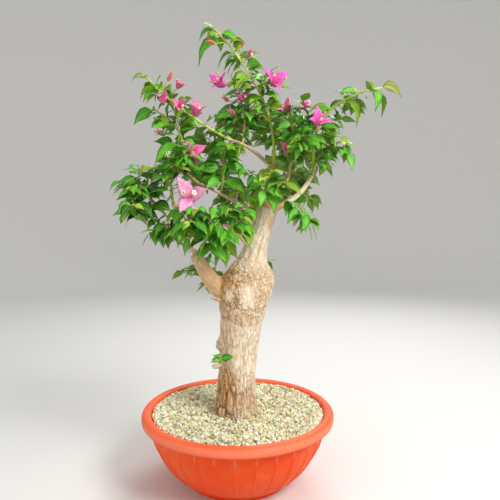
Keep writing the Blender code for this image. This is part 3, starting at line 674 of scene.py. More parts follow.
class Batch:
    """Copies of small shapes that are joined in one piece."""

    def __init__(self) -> None:
        """Start with nothing in it."""
        self.points: list[np.ndarray] = []
        self.faces: list[tuple] = []
        self.slots: list[np.ndarray] = []
        self.smooth: list[bool] = []
        self.forms: list[np.ndarray] = []
        self.count = 0

    def add(self, template: Template, points: np.ndarray, slots: Sequence[int]) -> None:
        """Add a copy of a template.

        Args:
            template: The shape that is copied.
            points: Places of its points.
            slots: Material index for each slot of the template.
        """
        self.points.append(points)
        self.forms.append(template.points)
        self.faces += [tuple(i + self.count for i in face) for face in template.faces]
        self.slots.append(np.array(slots)[template.slots])
        self.smooth += [template.smooth] * len(template.faces)
        self.count += len(points)

    def piece(self, name: str, finishes: Iterable) -> bpy.types.Object:
        """Join the copies in one object.

        Args:
            name: Name of the piece.
            finishes: Finishes in the order of the material indices.

        Returns:
            The new object.
        """
        mesh = bpy.data.meshes.new(name)
        mesh.from_pydata(np.concatenate(self.points).tolist(), [], self.faces)
        mesh.polygons.foreach_set("material_index", np.concatenate(self.slots).astype(np.int32))
        mesh.polygons.foreach_set("use_smooth", np.array(self.smooth))
        form = mesh.attributes.new("form", "FLOAT_VECTOR", "POINT")
        form.data.foreach_set("vector", np.concatenate(self.forms).ravel())
        mesh.update()
        for finish in finishes:
            mesh.materials.append(finish.make())
        LOG.info("%s: %d faces", name, len(self.faces))
        return linked(name, mesh)


def object_from(bm: BMesh, name: str) -> bpy.types.Object:
    """Object that holds a bmesh, which is freed.

    Args:
        bm: The shape.
        name: Name of the object.

    Returns:
        The new object, smooth shaded.
    """
    mesh = bpy.data.meshes.new(name)
    bm.to_mesh(mesh)
    bm.free()
    mesh.shade_smooth()
    return linked(name, mesh)


def applied(item: bpy.types.Object) -> None:
    """Replace an object's mesh by the one that its modifiers give.

    Args:
        item: The object, which loses its modifiers.
    """
    graph = bpy.context.evaluated_depsgraph_get()
    mesh = bpy.data.meshes.new_from_object(item.evaluated_get(graph))
    item.modifiers.clear()
    item.data = mesh


def clad(item: bpy.types.Object, finish: object) -> None:
    """Give an object one finish in place of those that it has."""
    item.data.materials.clear()
    item.data.materials.append(finish.make())


def lathe(section: Iterable[Sequence[float]], steps: int, weld: float) -> BMesh:
    """Spin a section about the upright axis.

    Args:
        section: Points in the XZ plane.
        steps: Pieces round the axis.
        weld: Distance within which points are joined.

    Returns:
        The shape.
    """
    bm = bmesh.new()
    verts = [bm.verts.new(point) for point in section]
    edges = [bm.edges.new(pair) for pair in zip(verts, verts[1:])]
    bmesh.ops.spin(bm, geom=verts + edges, cent=(0, 0, 0), axis=(0, 0, 1), dvec=(0, 0, 0),
                   angle=math.tau, steps=steps, use_merge=True, use_duplicate=False)
    bmesh.ops.remove_doubles(bm, verts=bm.verts, dist=weld)
    return bm


def smoothstep(low: float, high: float, value: float) -> float:
    """Rise from 0 to 1 between two values, without a kink."""
    share = min(max((value - low) / (high - low), 0.0), 1.0)
    return share * share * (3 - 2 * share)


def bell(distance: float, spread: float, power: int = 2) -> float:
    """Fall from 1 towards 0 as a distance passes a spread."""
    return math.exp(-(distance / spread) ** power)


def random_turn(rng: random.Random) -> Matrix:
    """Rotation by a random angle about a random axis."""
    return Matrix.Rotation(rng.uniform(0, math.tau), 3, Vector([rng.gauss(0, 1) for _ in range(3)]))


def turn_between(first: Vector, second: Vector) -> Matrix:
    """Rotation that takes one direction to another."""
    return first.rotation_difference(second).to_matrix().to_4x4()


def arch(low: Vector, middle: Vector, high: Vector, along: np.ndarray) -> tuple[np.ndarray, np.ndarray]:
    """Follow the smooth curve of three points.

    Args:
        low: Where it starts.
        middle: What it bends towards.
        high: Where it ends.
        along: Shares of its length, in a column.

    Returns:
        Places and unit directions, a row for each share.
    """
    low, middle, high = (np.array(point) for point in (low, middle, high))
    centre = low * (1 - along) ** 2 + middle * (2 * along * (1 - along)) + high * along ** 2
    ahead = 2 * (middle - low) * (1 - along) + 2 * (high - middle) * along
    return centre, ahead / np.linalg.norm(ahead, axis=1)[:, None]


class Path:
    """A limb's centre line: its start, its reach, its bow to one side and its sway."""

    def __init__(self, start: Vector, reach: Sequence[float], bow: Sequence[float],
                 sway: Sequence[float] = (0, 0, 0), unit: float = MM, rings: int = 3) -> None:
        """Keep the path's sizes.

        Args:
            start: Where it starts.
            reach: From its start to its end.
            bow: How far its middle stands from the straight line.
            sway: How far it swings to each side of that bow.
            unit: Size of one unit of reach, bow and sway.
            rings: Straight pieces of the solid that follows it.
        """
        self.start = Vector(start)
        self.reach = Vector(reach) * unit
        self.bow = Vector(bow) * unit
        self.sway = Vector(sway) * unit
        self.rings = rings

    def curve(self, t: float) -> Vector:
        """Place at share t of the smooth curve."""
        lift = 4 * t * (1 - t)
        return self.start + self.reach * t + self.bow * lift + self.sway * math.sin(math.tau * t)

    def point(self, t: float) -> Vector:
        """Place on the chain of straight pieces.

        Args:
            t: Share of the path.

        Returns:
            The place.
        """
        step = min(int(t * self.rings), self.rings - 1)
        low = self.curve(step / self.rings)
        high = self.curve((step + 1) / self.rings)
        return low.lerp(high, t * self.rings - step)

    def tangent(self, t: float) -> Vector:
        """Direction at share t of the path."""
        turn = self.sway * (math.tau * math.cos(math.tau * t))
        return (self.reach + self.bow * (4 - 8 * t) + turn).normalized()

    def length(self) -> float:
        """Length along the path."""
        steps = 24
        points = [self.curve(i / steps) for i in range(steps + 1)]
        return sum((b - a).length for a, b in zip(points, points[1:]))


@dataclass
class Bowl:
    """Round plastic bowl with a rolled rim, fine upright ribs, a low foot and drain holes.

    The turns of its section, `neck` and `foot_turn`, are in mm: out and up, for the neck from the
    top of the body.
    """

    height: float = 112 * MM
    rim_radius: float = 152.5 * MM
    rim_inner_radius: float = 137 * MM
    lip_depth: float = 13 * MM
    lip_roll: float = 8 * MM
    lip_steps: int = 18
    neck: tuple = ((5, 1.2), (1.6, 0.8), (1.3, -3.2), (-0.4, -4))
    body_top_radius: float = 137.5 * MM
    body_foot_radius: float = 95 * MM
    body_steps: int = 16
    foot_height: float = 15 * MM
    foot_radius: float = 81.5 * MM
    foot_turn: tuple = ((93.9, 13.4), (92.2, 11.8), (89.8, 10), (86.6, 8.1), (83.6, 6.6), (82.0, 5.6),
                        (81.4, 4.4))
    fullness: float = 0.8
    wall: float = 3 * MM
    ribs: int = 30
    columns_per_rib: int = 12
    rib_height: float = 1.8 * MM
    rib_width: float = 2.4 * MM
    rib_gather: float = 1.7
    unevenness: float = 0.25 * MM
    drain_holes: int = 5
    drain_radius: float = 5 * MM
    drain_circle: float = 55 * MM
    finish: PlasticFinish = PlasticFinish("bowl_plastic", srgb(240, 72, 4), srgb(243, 88, 20))

    @property
    def body_top(self) -> float:
        """Height at which the body ends and the lip begins."""
        return self.height - self.lip_depth

    def body_radius(self, height: float) -> float:
        """Outer radius of the body at a height."""
        share = (height - self.foot_height) / (self.body_top - self.foot_height)
        swell = math.sin(math.pi / 2 * min(max(share, 0.0), 1.0)) ** self.fullness
        return self.body_foot_radius + (self.body_top_radius - self.body_foot_radius) * swell

    def lip(self) -> list[tuple]:
        """Section of the rolled lip.

        Returns:
            Pairs of radius and height, from the inside over the crest to the outside.
        """
        middle = (self.rim_inner_radius + self.rim_radius) / 2
        half = (self.rim_radius - self.rim_inner_radius) / 2
        section = [(self.rim_inner_radius - 1.5 * MM, self.body_top + 1 * MM)]
        for i in range(self.lip_steps + 1):
            angle = math.radians(195 - 228 * i / self.lip_steps)
            cosine, sine = math.cos(angle), math.sin(angle)
            out = middle + half * math.copysign(abs(cosine) ** 0.8, cosine)
            up = self.height - self.lip_roll + self.lip_roll * math.copysign(abs(sine) ** 0.75, sine)
            section.append((out, up - (0.9 * MM if out > middle + 0.6 * half else 0.0)))
        return section

    def profile(self) -> list[Vector]:
        """Points of the wall's section, from the middle of its floor round to its underside.

        Returns:
            The points in the XZ plane.
        """
        top, foot = self.body_top, self.foot_height
        rise = [foot + (top - foot) * (i / self.body_steps) ** 1.4 for i in range(self.body_steps + 1)]
        section = [(radius, foot + self.wall) for radius in (0.0, 30 * MM, 60 * MM, 84 * MM)]
        section += [(self.body_radius(z) - self.wall, z + self.wall) for z in rise[:-2]]
        section += self.lip()
        section += [(self.body_top_radius + out * MM, top + up * MM) for out, up in self.neck]
        section += [(self.body_radius(z), z) for z in reversed(rise) if z < top - 5 * MM]
        section += [(out * MM, up * MM) for out, up in self.foot_turn]
        section += [(self.foot_radius, 2.4 * MM), (self.foot_radius - 0.2 * MM, 0.8 * MM),
                    (self.foot_radius - 1.2 * MM, 0.0), (74 * MM, 0.0), (55 * MM, 0.0), (0.0, 0.0)]
        return [Vector((x, 0.0, z)) for x, z in section]

    def rib_rise(self, aside: float, height: float) -> float:
        """How far a rib stands out.

        Args:
            aside: Distance from its middle.
            height: Height on the bowl.

        Returns:
            The rise.
        """
        top = self.body_top - 5 * MM
        along = smoothstep(self.foot_height - 1 * MM, self.foot_height + 4 * MM, height)
        along *= 1 - smoothstep(top - 4 * MM, top, height)
        return self.rib_height * along * bell(aside, 0.42 * self.rib_width)

    def build(self) -> None:
        """Spin the wall's section, raise the ribs and open the drain holes."""
        bm = lathe(self.profile(), self.ribs * self.columns_per_rib, 0.005 * MM)
        bmesh.ops.recalc_face_normals(bm, faces=bm.faces)
        pitch = math.tau / self.ribs
        for vert in bm.verts:
            angle = math.atan2(vert.co.y, vert.co.x)
            rib = round(angle / pitch - 0.5) + 0.5
            share = (angle - rib * pitch) / pitch * 2
            turn = math.copysign(abs(share) ** self.rib_gather, share) * pitch / 2
            radius = math.hypot(vert.co.x, vert.co.y)
            if radius < self.drain_circle + 4 * self.drain_radius:
                continue
            angle = rib * pitch + turn
            if vert.co.z < self.body_top - 3 * MM and radius > self.body_radius(vert.co.z) - 1 * MM:
                radius += self.rib_rise(turn * radius, vert.co.z)
            where = Vector((math.cos(angle), math.sin(angle), vert.co.z * 8))
            radius += self.unevenness * noise.noise(where * 1.5)
            vert.co.x = radius * math.cos(angle)
            vert.co.y = radius * math.sin(angle)
        bowl = object_from(bm, "bowl_shell")
        self.drain(bowl)
        self.wear_and_rib_highlight(bowl)
        bowl.data.shade_smooth()
        bowl.data.set_sharp_from_angle(angle=math.radians(38))
        clad(bowl, self.finish)
        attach(bowl, BODY)
        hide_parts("bowl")

    def drain(self, bowl: bpy.types.Object) -> None:
        """Open the drain holes through the floor.

        Args:
            bowl: The bowl, whose mesh is changed.
        """
        bm = bmesh.new()
        for i in range(self.drain_holes):
            angle = math.tau * (i + 0.5) / self.drain_holes
            place = Vector((math.cos(angle), math.sin(angle), 0)) * self.drain_circle
            bmesh.ops.create_cone(bm, cap_ends=True, segments=28, radius1=self.drain_radius,
                                  radius2=self.drain_radius, depth=4 * self.foot_height,
                                  matrix=Matrix.Translation(place))
        cutter = object_from(bm, "drain_cutter")
        cut = bowl.modifiers.new("drain", "BOOLEAN")
        cut.operation = "DIFFERENCE"
        cut.solver = "MANIFOLD"
        cut.object = cutter
        applied(bowl)
        bpy.data.objects.remove(cutter, do_unlink=True)

    def wear_and_rib_highlight(self, bowl: bpy.types.Object) -> None:
        """Mark what is chalky with wear: the lip, its crest and its lower edge, and the foot; the raised
        ribs get a painted highlight.

        Args:
            bowl: The bowl, which gets the attribute.
        """
        marks = bowl.data.attributes.new("wear_and_rib_highlight", "FLOAT", "POINT")
        top = self.body_top
        for vert, mark in zip(bowl.data.vertices, marks.data):
            radius = math.hypot(vert.co.x, vert.co.y)
            height = vert.co.z
            crest = bell(radius - self.rim_radius, 1.6 * MM) * smoothstep(top, top + 5 * MM, height)
            under = 0.9 * bell(height - top - 1.2 * MM, 1.6 * MM)
            under *= smoothstep(self.body_top_radius, self.body_top_radius + 6 * MM, radius)
            foot = bell(height - self.foot_height, 5 * MM) + 0.6 * bell(height, 3 * MM)
            # Raised ribs: a painted highlight in the dust colour.
            rib = 0.0
            if height < top - 5 * MM:
                rib = max(0.0, radius - self.body_radius(height)) / self.rib_height
            lip = smoothstep(top, top + 4 * MM, height)
            # Chalky wear on crest, lower edge, foot and lip, plus the painted highlight on the ribs.
            wear_and_rib_highlight = 0.35 * crest + 0.4 * under + 0.35 * foot + 0.75 * min(rib, 1.0) + 0.2 * lip
            mark.value = 0.0 if radius < self.rim_inner_radius else min(1.0, wear_and_rib_highlight)


@dataclass
class Gravel:
    """Top dressing of crushed stone on the mix, with a hollow round the trunk.

    Each of its layers has a lift in mm, a step in shares of the spacing, the share of its places
    that get a stone, and how far from the trunk it goes.
    """

    level: float = 106 * MM
    swell: float = 0.9 * MM
    swell_pitch: float = 23 * MM
    radius: float = 132.5 * MM
    rim: float = 136.6 * MM
    spacing: float = 5.9 * MM
    smallest: float = 5.0 * MM
    largest: float = 8.3 * MM
    kinds: int = 24
    corners: int = 13
    clear_of_trunk: float = 36 * MM
    trunk_foot: tuple = (-3.5 * MM, -8 * MM)
    layers: tuple = ((-2.8, 0.95, 1.0, 49 * MM), (-0.5, 0.92, 1.0, 1.0), (1.0, 1.15, 0.7, 1.0),
                     (2.4, 1.6, 0.4, 1.0))
    shares: tuple = (0.36, 0.63, 0.78, 0.95, 0.98, 1.0)
    earthy_kinds: tuple = (3, 4, 5)
    edge_kinds: tuple = (0, 0, 1, 1, 2, 3)
    seed: int = 5
    painted_shade_bed: StoneFinish = StoneFinish("painted_shade_bed", srgb(158, 148, 116), srgb(108, 98, 74))

    def __post_init__(self) -> None:
        """Make the stones that are copied."""
        self.rng = random.Random(self.seed)
        self.templates = [stone_template(self.rng, self.corners) for _ in range(self.kinds)]
        self.batch = Batch()

    def level_at(self, x: float, y: float) -> float:
        """Height of the mix's surface at a place, with the swells of the solid."""
        wave = math.tau / (2 * self.swell_pitch)
        rise = math.sin(x * wave + 0.6) * math.cos(y * wave)
        return self.level + self.swell * (rise + 0.5 * math.sin((x + y) * wave * 0.6))

    def build(self) -> None:
        """Scatter the stones in layers from below to above, and colour the mix under them like gravel in
        shade: painted shade in the gaps.
        """
        for lift, step, chance, reach in self.layers:
            self.scatter(lift * MM, self.spacing * step, chance, reach)
        self.edge()
        stones = self.batch.piece("gravel_stones", STONE_FINISHES)
        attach(stones, BODY)
        # The mix is coloured like gravel in shade, as painted shade where it shows between the stones.
        clad(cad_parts["gravel_bed"], self.painted_shade_bed)

    def lay(self, template: Template, turn: Matrix, size: float, place: Sequence[float], slot: int) -> None:
        """Lay one stone.

        Args:
            template: Its shape.
            turn: Its rotation.
            size: Its width.
            place: Where it lies, with its height above the mix.
            slot: Its material index.
        """
        x, y, lift = place
        middle = np.array((x, y, self.level_at(x, y) + lift))
        self.batch.add(template, template.points @ np.array(turn.transposed()) * size + middle, [slot])

    def edge(self) -> None:
        """Lay rings of stones that lean against the wall of the bowl."""
        rng = self.rng
        count = round(math.tau * self.rim / (0.86 * self.spacing))
        for i in range(3 * count):
            size = rng.uniform(self.smallest, 0.9 * self.largest)
            angle = math.tau * (i + rng.uniform(-0.3, 0.3)) / count
            radius = self.rim - 0.46 * size - (0.0 if i < count else rng.uniform(1.0, 5.5) * MM)
            lift = rng.uniform(-1.6, 0.4) * MM if i < count else rng.uniform(0.2, 2.0) * MM
            turn = random_turn(rng)
            template = rng.choice(self.templates)
            place = (radius * math.cos(angle), radius * math.sin(angle), lift)
            self.lay(template, turn, size, place, rng.choice(self.edge_kinds))

    def scatter(self, lift: float, step: float, chance: float, reach: float) -> None:
        """Lay one layer of stones.

        Args:
            lift: Height of the layer above the mix.
            step: Distance between two stones.
            chance: Share of the places that get a stone.
            reach: How far from the trunk the layer goes.
        """
        rng = self.rng
        rows = int(self.radius / step) + 1
        for row in range(-rows, rows + 1):
            for column in range(-rows, rows + 1):
                x = (column + 0.5 * (row % 2) + rng.uniform(-0.34, 0.34)) * step
                y = (row * 0.87 + rng.uniform(-0.34, 0.34)) * step
                size = rng.uniform(self.smallest, self.largest) * (1.0 if rng.random() < 0.93 else 1.25)
                turn = random_turn(rng)
                template = rng.choice(self.templates)
                draw = rng.random()
                keep = rng.random() < chance
                near = math.hypot(x - self.trunk_foot[0], y - self.trunk_foot[1])
                if not keep or math.hypot(x, y) + size / 2 > self.radius + 1.2 * MM:
                    continue
                if not self.clear_of_trunk < near < reach:
                    continue
                earthy = 0.42 * bell(near - self.clear_of_trunk, 13 * MM)
                earthy += 0.25 * smoothstep(0.25, 0.6, noise.noise(Vector((x, y, 9)) * 30))
                slot = next(i for i, limit in enumerate(self.shares) if draw <= limit)
                if rng.random() < earthy:
                    slot = rng.choice(self.earthy_kinds)
                self.lay(template, turn, size, (x, y, lift), slot)


@dataclass(frozen=True)
class Limb:
    """A tapering limb that leaves its carrier's centre line at a share of its length (sizes in mm)."""

    name: str
    carrier: str
    at: float
    reach: tuple
    bow: tuple
    radii: tuple
    taper: float = 1.0


LIMBS = (
    Limb("leader", "trunk", 0.78, (36, -3, 132), (-3, 0, 0), (31, 16.2), 2.0),
    Limb("sawn_limb", "trunk", 0.68, (-76, -12, 86), (-4, 0, -9), (18, 11)),
    Limb("leader_spur", "leader", 0.94, (11, 6, 76), (-2, 0, 0), (10.5, 5)),
    Limb("right_bough", "leader", 0.95, (77, 20, 70), (10, -8, -9), (5.4, 3.3)),
    Limb("low_left_bough", "leader", 0.46, (-118, -68, 70), (4, -18, 17), (3.6, 2.4)),
    Limb("mid_left_bough", "leader", 0.88, (-107, -26, 54), (-2, -4, 2), (3.2, 2.0)),
    Limb("far_left_bough", "sawn_limb", 0.97, (-59, -22, 79), (4, -1, 2), (3.2, 2.2)),
    Limb("upper_left_bough", "leader_spur", 0.9, (-65, -27, 40), (-1, 0, 8), (2.9, 2.2)),
    Limb("inner_right_bough", "leader_spur", 0.24, (34, -10, 53), (8, -4, -4), (3.4, 2.4)),
    Limb("back_left_bough", "leader_spur", 0.2, (-68, 60, 31), (-2, 8, 6), (4.0, 2.6)),
    Limb("back_right_bough", "leader_spur", 0.5, (38, 64, 26), (2, 6, 8), (3.8, 2.6)),
)
HEAVY_LIMBS = ("leader", "sawn_limb", "leader_spur", "right_bough")
HEAVY = [limb for limb in LIMBS if limb.name in HEAVY_LIMBS]
LIGHT = [limb for limb in LIMBS if limb.name not in HEAVY_LIMBS]

# Places on the front of the trunk, in millimetres: middle across, middle up, half width, half height
PALE_PATCHES = ((-2, 200, 8, 13), (17, 296, 11, 19), (-13, 296, 6, 10), (-36, 184, 9, 6))
SAWN_FACE = Vector((68, -6, 430)) * MM
KNOB = Vector((-33, -15, 212)) * MM
CROWN_MIDDLE = Vector((20, 22, 480)) * MM


@dataclass
class Trunk:
    """The trunk's own shape: its lean, root flare, burl below the fork and rounded top."""

    foot: Vector = field(default_factory=lambda: Vector((-3.5 * MM, -8 * MM, 103.35 * MM)))
    height: float = 252 * MM
    lean: Vector = field(default_factory=lambda: Vector((25.5 * MM, 6 * MM, 0)))
    lean_power: float = 1.9
    radius: float = 33 * MM
    swell: float = 2 * MM
    waist: float = 4 * MM
    waist_height: float = 75 * MM
    waist_spread: float = 55 * MM
    flare: float = 7 * MM
    flare_reach: float = 10 * MM
    burl: float = 8.5 * MM
    burl_height: float = 203 * MM
    burl_spread: tuple = (30 * MM, 26 * MM)
    dome_start: float = 215 * MM
    root_lobes: int = 5

    def point(self, t: float) -> Vector:
        """Centre at share t of the trunk's height."""
        height = t * self.height
        return self.foot + UP * height + self.lean * max(t, 0.0) ** self.lean_power

    def tangent(self, t: float) -> Vector:
        """Direction at share t of the trunk's height."""
        step = 0.01
        return (self.point(t + step) - self.point(max(t - step, 0.0))).normalized()

    def radius_at(self, height: float, angle: float = 0.0) -> float:
        """Radius of the trunk without its bark.

        Args:
            height: Height above the gravel.
            angle: Turn about the centre line.

        Returns:
            The radius.
        """
        radius = self.radius + self.swell * height / self.height
        radius += self.flare * math.exp(-height / self.flare_reach)
        radius -= self.waist * bell(height - self.waist_height, self.waist_spread)
        spread = self.burl_spread[0 if height < self.burl_height else 1]
        radius += self.burl * bell(height - self.burl_height, spread)
        if height > self.dome_start:
            share = (height - self.dome_start) / (self.height - self.dome_start)
            radius *= math.sqrt(max(1 - 0.8 * share * share, 0.0))
        roots = 0.07 * math.exp(-height / (26 * MM)) * math.cos(self.root_lobes * angle + 1.0)
        return radius * (1 + roots)


@dataclass(frozen=True)
class Grain:
    """How the bark of one limb is furrowed: width and length of its plates, depth, warmth (mm)."""

    width: float
    along: float
    depth: float
    warm: float


@dataclass
class Zone:
    """What sets the bark apart at one place: all from 0 to 1, but for the depth of its furrows (mm)."""

    depth: float
    warm: float
    gnarl: float = 0.0
    smooth: float = 0.0
    # crease: groove of the seam, which also gets a painted shadow.
    crease: float = 0.0
    ridge: float = 0.0
    coarse: float = 0.0
    # left: share on the trunk's left side, whose warmer, darker bark is partly painted shade.
    left: float = 0.0


@dataclass
class Wood:
    """Trunk and heavy limbs as one body of wood with the relief of its bark.

    Each stub, a broken spur or a knot, has its start, its reach and two radii in mm.
    """

    trunk: Trunk
    paths: dict
    voxel: float = 1.25 * MM
    samples: int = 70
    crotch: tuple = (322 * MM, 378 * MM)
    soft_rounds: int = 5
    crotch_rounds: int = 140
    flutes: int = 9
    seam_height: float = 151
    ridge_height: float = 159
    stubs: tuple = (((-27, -27, 288), (-15, -5, 4), 3.4, 1.4), ((-28, -22, 183), (-11, -5, 2), 5.0, 3.4),
                    ((-25, -12, 213), (-9, -3, -3), 15.0, 3.0), ((36, -16, 309), (6, -3, 0), 16.0, 11.0),
                    ((-64, -22, 352), (3, -8, 4), 5.0, 3.6))
    grains: dict = field(default_factory=lambda: {
        "trunk": Grain(7.6, 30, 0.9, 0.06),
        "leader": Grain(5.4, 46, 0.7, 0.0),
        "sawn_limb": Grain(5.0, 60, 0.25, 0.75),
        "leader_spur": Grain(4.0, 36, 0.4, 0.6),
        "right_bough": Grain(3.0, 30, 0.25, 0.15),
    })
    finish: BarkFinish = BarkFinish("bark", srgb(252, 240, 212), srgb(222, 174, 118), srgb(168, 116, 70),
                                    srgb(116, 70, 32), srgb(222, 156, 106))

    def build(self) -> None:
        """Join the limbs, remesh them and raise the bark."""
        bm = bmesh.new()
        self.stack(bm)
        for limb in HEAVY:
            self.sweep(bm, limb)
        for start, reach, low, high in self.stubs:
            way = Vector(reach)
            middle = Matrix.Translation((Vector(start) + way / 2) * MM)
            bmesh.ops.create_cone(bm, cap_ends=True, segments=14, radius1=low * MM, radius2=high * MM,
                                  depth=way.length * MM, matrix=middle @ turn_between(UP, way.normalized()))
        wood = object_from(bm, "wood")
        remesh = wood.modifiers.new("remesh", "REMESH")
        remesh.mode = "VOXEL"
        remesh.voxel_size = self.voxel
        remesh.adaptivity = 0.0
        applied(wood)
        self.soften(wood.data)
        self.relief(wood.data)
        wood.data.shade_smooth()
        clad(wood, self.finish)
        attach(wood, BODY)
        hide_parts("trunk", *HEAVY_LIMBS)
        LOG.info("wood: %d faces", len(wood.data.polygons))

    def stack(self, bm: BMesh) -> None:
        """Add the trunk as a stack of rings.

        Args:
            bm: Where it goes, still empty.
        """
        sides, rings = 72, 90
        stack = [bmesh.ops.create_circle(bm, cap_ends=True, segments=sides, radius=1.0)["verts"]]
        edges = list(bm.edges)
        for _ in range(rings):
            edges, verts = extruded(bm, edges)
            stack.append(verts)
        bmesh.ops.contextual_create(bm, geom=edges)
        for i, ring in enumerate(stack):
            height = self.trunk.height * i / rings
            centre = self.trunk.point(i / rings)
            for vert in ring:
                angle = math.atan2(vert.co.y, vert.co.x)
                radius = self.trunk.radius_at(height, angle)
                vert.co = centre + Vector((math.cos(angle), math.sin(angle), 0)) * radius
        bmesh.ops.recalc_face_normals(bm, faces=bm.faces)

    def sweep(self, bm: BMesh, limb: Limb) -> None:
        """Add a limb as a tapering tube with rounded shoulders at its cut end.

        Args:
            bm: Where it goes.
            limb: The limb.
        """
        steps, sides = 40, 28
        path = self.paths[limb.name]
        places = [path.curve(i / steps) for i in range(steps + 1)]
        ways = [path.tangent(i / steps) for i in range(steps + 1)]
        sizes = [self.limb_radius(limb, i / steps) for i in range(steps + 1)]
        made = bmesh.ops.create_circle(bm, cap_ends=True, segments=sides, radius=sizes[0],
                                       matrix=Matrix.Translation(places[0]) @ turn_between(UP, ways[0]))
        edges = list({edge for vert in made["verts"] for edge in vert.link_edges})
        for i in range(1, steps + 1):
            edges, verts = extruded(bm, edges)
            move = Matrix.Translation(places[i]) @ turn_between(ways[i - 1], ways[i])
            move = move @ Matrix.Scale(sizes[i] / sizes[i - 1], 4)
            bmesh.ops.transform(bm, matrix=move @ Matrix.Translation(-places[i - 1]), verts=verts)
        bmesh.ops.contextual_create(bm, geom=edges)
        bmesh.ops.recalc_face_normals(bm, faces=bm.faces)

    def limb_radius(self, limb: Limb, t: float) -> float:
        """Radius of a limb at share t, with soft shoulders at its cut end."""
        radius = (limb.radii[1] + (limb.radii[0] - limb.radii[1]) * (1 - t) ** limb.taper) * MM
        end = (1 - t) * Vector(limb.reach).length * MM / (0.35 * radius)
        return radius * (0.86 + 0.14 * smoothstep(0.0, 1.0, end))

    def soften(self, mesh: bpy.types.Mesh) -> None:
        """Smooth the seams where limbs run together.

        Args:
            mesh: The remeshed wood.
        """
        bm = bmesh.new()
        bm.from_mesh(mesh)
        crotch = [vert for vert in bm.verts if self.crotch[0] < vert.co.z < self.crotch[1]]
        for verts, rounds in ((bm.verts, self.soft_rounds), (crotch, self.crotch_rounds)):
            for _ in range(rounds):
                bmesh.ops.smooth_vert(bm, verts=verts, factor=0.5, use_axis_x=True, use_axis_y=True,
                                      use_axis_z=True)
        bm.to_mesh(mesh)
        bm.free()

    def axes(self) -> list[tuple]:
        """Sample each limb's centre line.

        Returns:
            For each limb its name, points, radii, lengths along it and a frame square to it.
        """
        shares = np.linspace(0, 1, self.samples)
        trunk = self.trunk
        points = np.array([trunk.point(t) for t in shares])
        radii = np.array([max(trunk.radius_at(t * trunk.height), 20 * MM) for t in shares])
        tangents = np.array([trunk.tangent(t) for t in shares])
        found = [("trunk", points, radii, shares * trunk.height, tangents)]
        for limb in HEAVY:
            path = self.paths[limb.name]
            points = np.array([path.curve(t) for t in shares])
            radii = np.array([self.limb_radius(limb, t) for t in shares])
            tangents = np.array([path.tangent(t) for t in shares])
            found.append((limb.name, points, radii, shares * path.length(), tangents))
        return found

    def relief(self, mesh: bpy.types.Mesh) -> None:
        """Move each point out or in by the bark's relief and note its tone and its grain.

        Args:
            mesh: The smoothed wood.
        """
        count = len(mesh.vertices)
        places, normals = np.zeros(count * 3), np.zeros(count * 3)
        mesh.vertices.foreach_get("co", places)
        mesh.vertices.foreach_get("normal", normals)
        places, normals = places.reshape(-1, 3), normals.reshape(-1, 3)
        ratios, frames = [], []
        for name, points, radii, lengths, tangents in self.axes():
            gap = np.linalg.norm(places[:, None, :] - points[None, :, :], axis=2)
            nearest = gap.argmin(axis=1)
            offset = places - points[nearest]
            ahead = tangents[nearest]
            along = (offset * ahead).sum(axis=1)
            square = offset - ahead * along[:, None]
            away = np.linalg.norm(square, axis=1)
            beyond = np.maximum(0, np.abs(along) - 4 * MM)
            ratios.append((away + 2 * beyond) / radii[nearest])
            side = np.cross(ahead, np.array([0.0, 1.0, 0.0]))
            side /= np.linalg.norm(side, axis=1)[:, None]
            other = np.cross(ahead, side)
            angle = np.arctan2((square * other).sum(axis=1), (square * side).sum(axis=1))
            frames.append((name, angle, lengths[nearest] + along, radii[nearest]))
        ratios = np.array(ratios)
        weights = np.exp(-7 * ratios)
        weights /= weights.sum(axis=0)
        chief = weights.argmax(axis=0)
        tone = np.zeros((count, 4))
        tone[:, 3] = 1.0
        grain = np.zeros((count, 3))
        shift = np.zeros(count)
        for i in range(count):
            name, angle, length, radius = frames[chief[i]]
            share = weights[chief[i], i]
            shift[i], *tone[i] = self.bark_at(name, angle[i], length[i], radius[i], places[i], share)
            grain[i] = math.cos(angle[i]) * radius[i], math.sin(angle[i]) * radius[i], length[i]
        places += normals * shift[:, None]
        places[:, 2] = np.maximum(places[:, 2], self.trunk.foot.z)
        mesh.vertices.foreach_set("co", places.ravel())
        mesh.update()
        mesh.attributes.new("bark", "FLOAT_COLOR", "POINT").data.foreach_set("color", tone.ravel())
        mesh.attributes.new("grain", "FLOAT_VECTOR", "POINT").data.foreach_set("vector", grain.ravel())

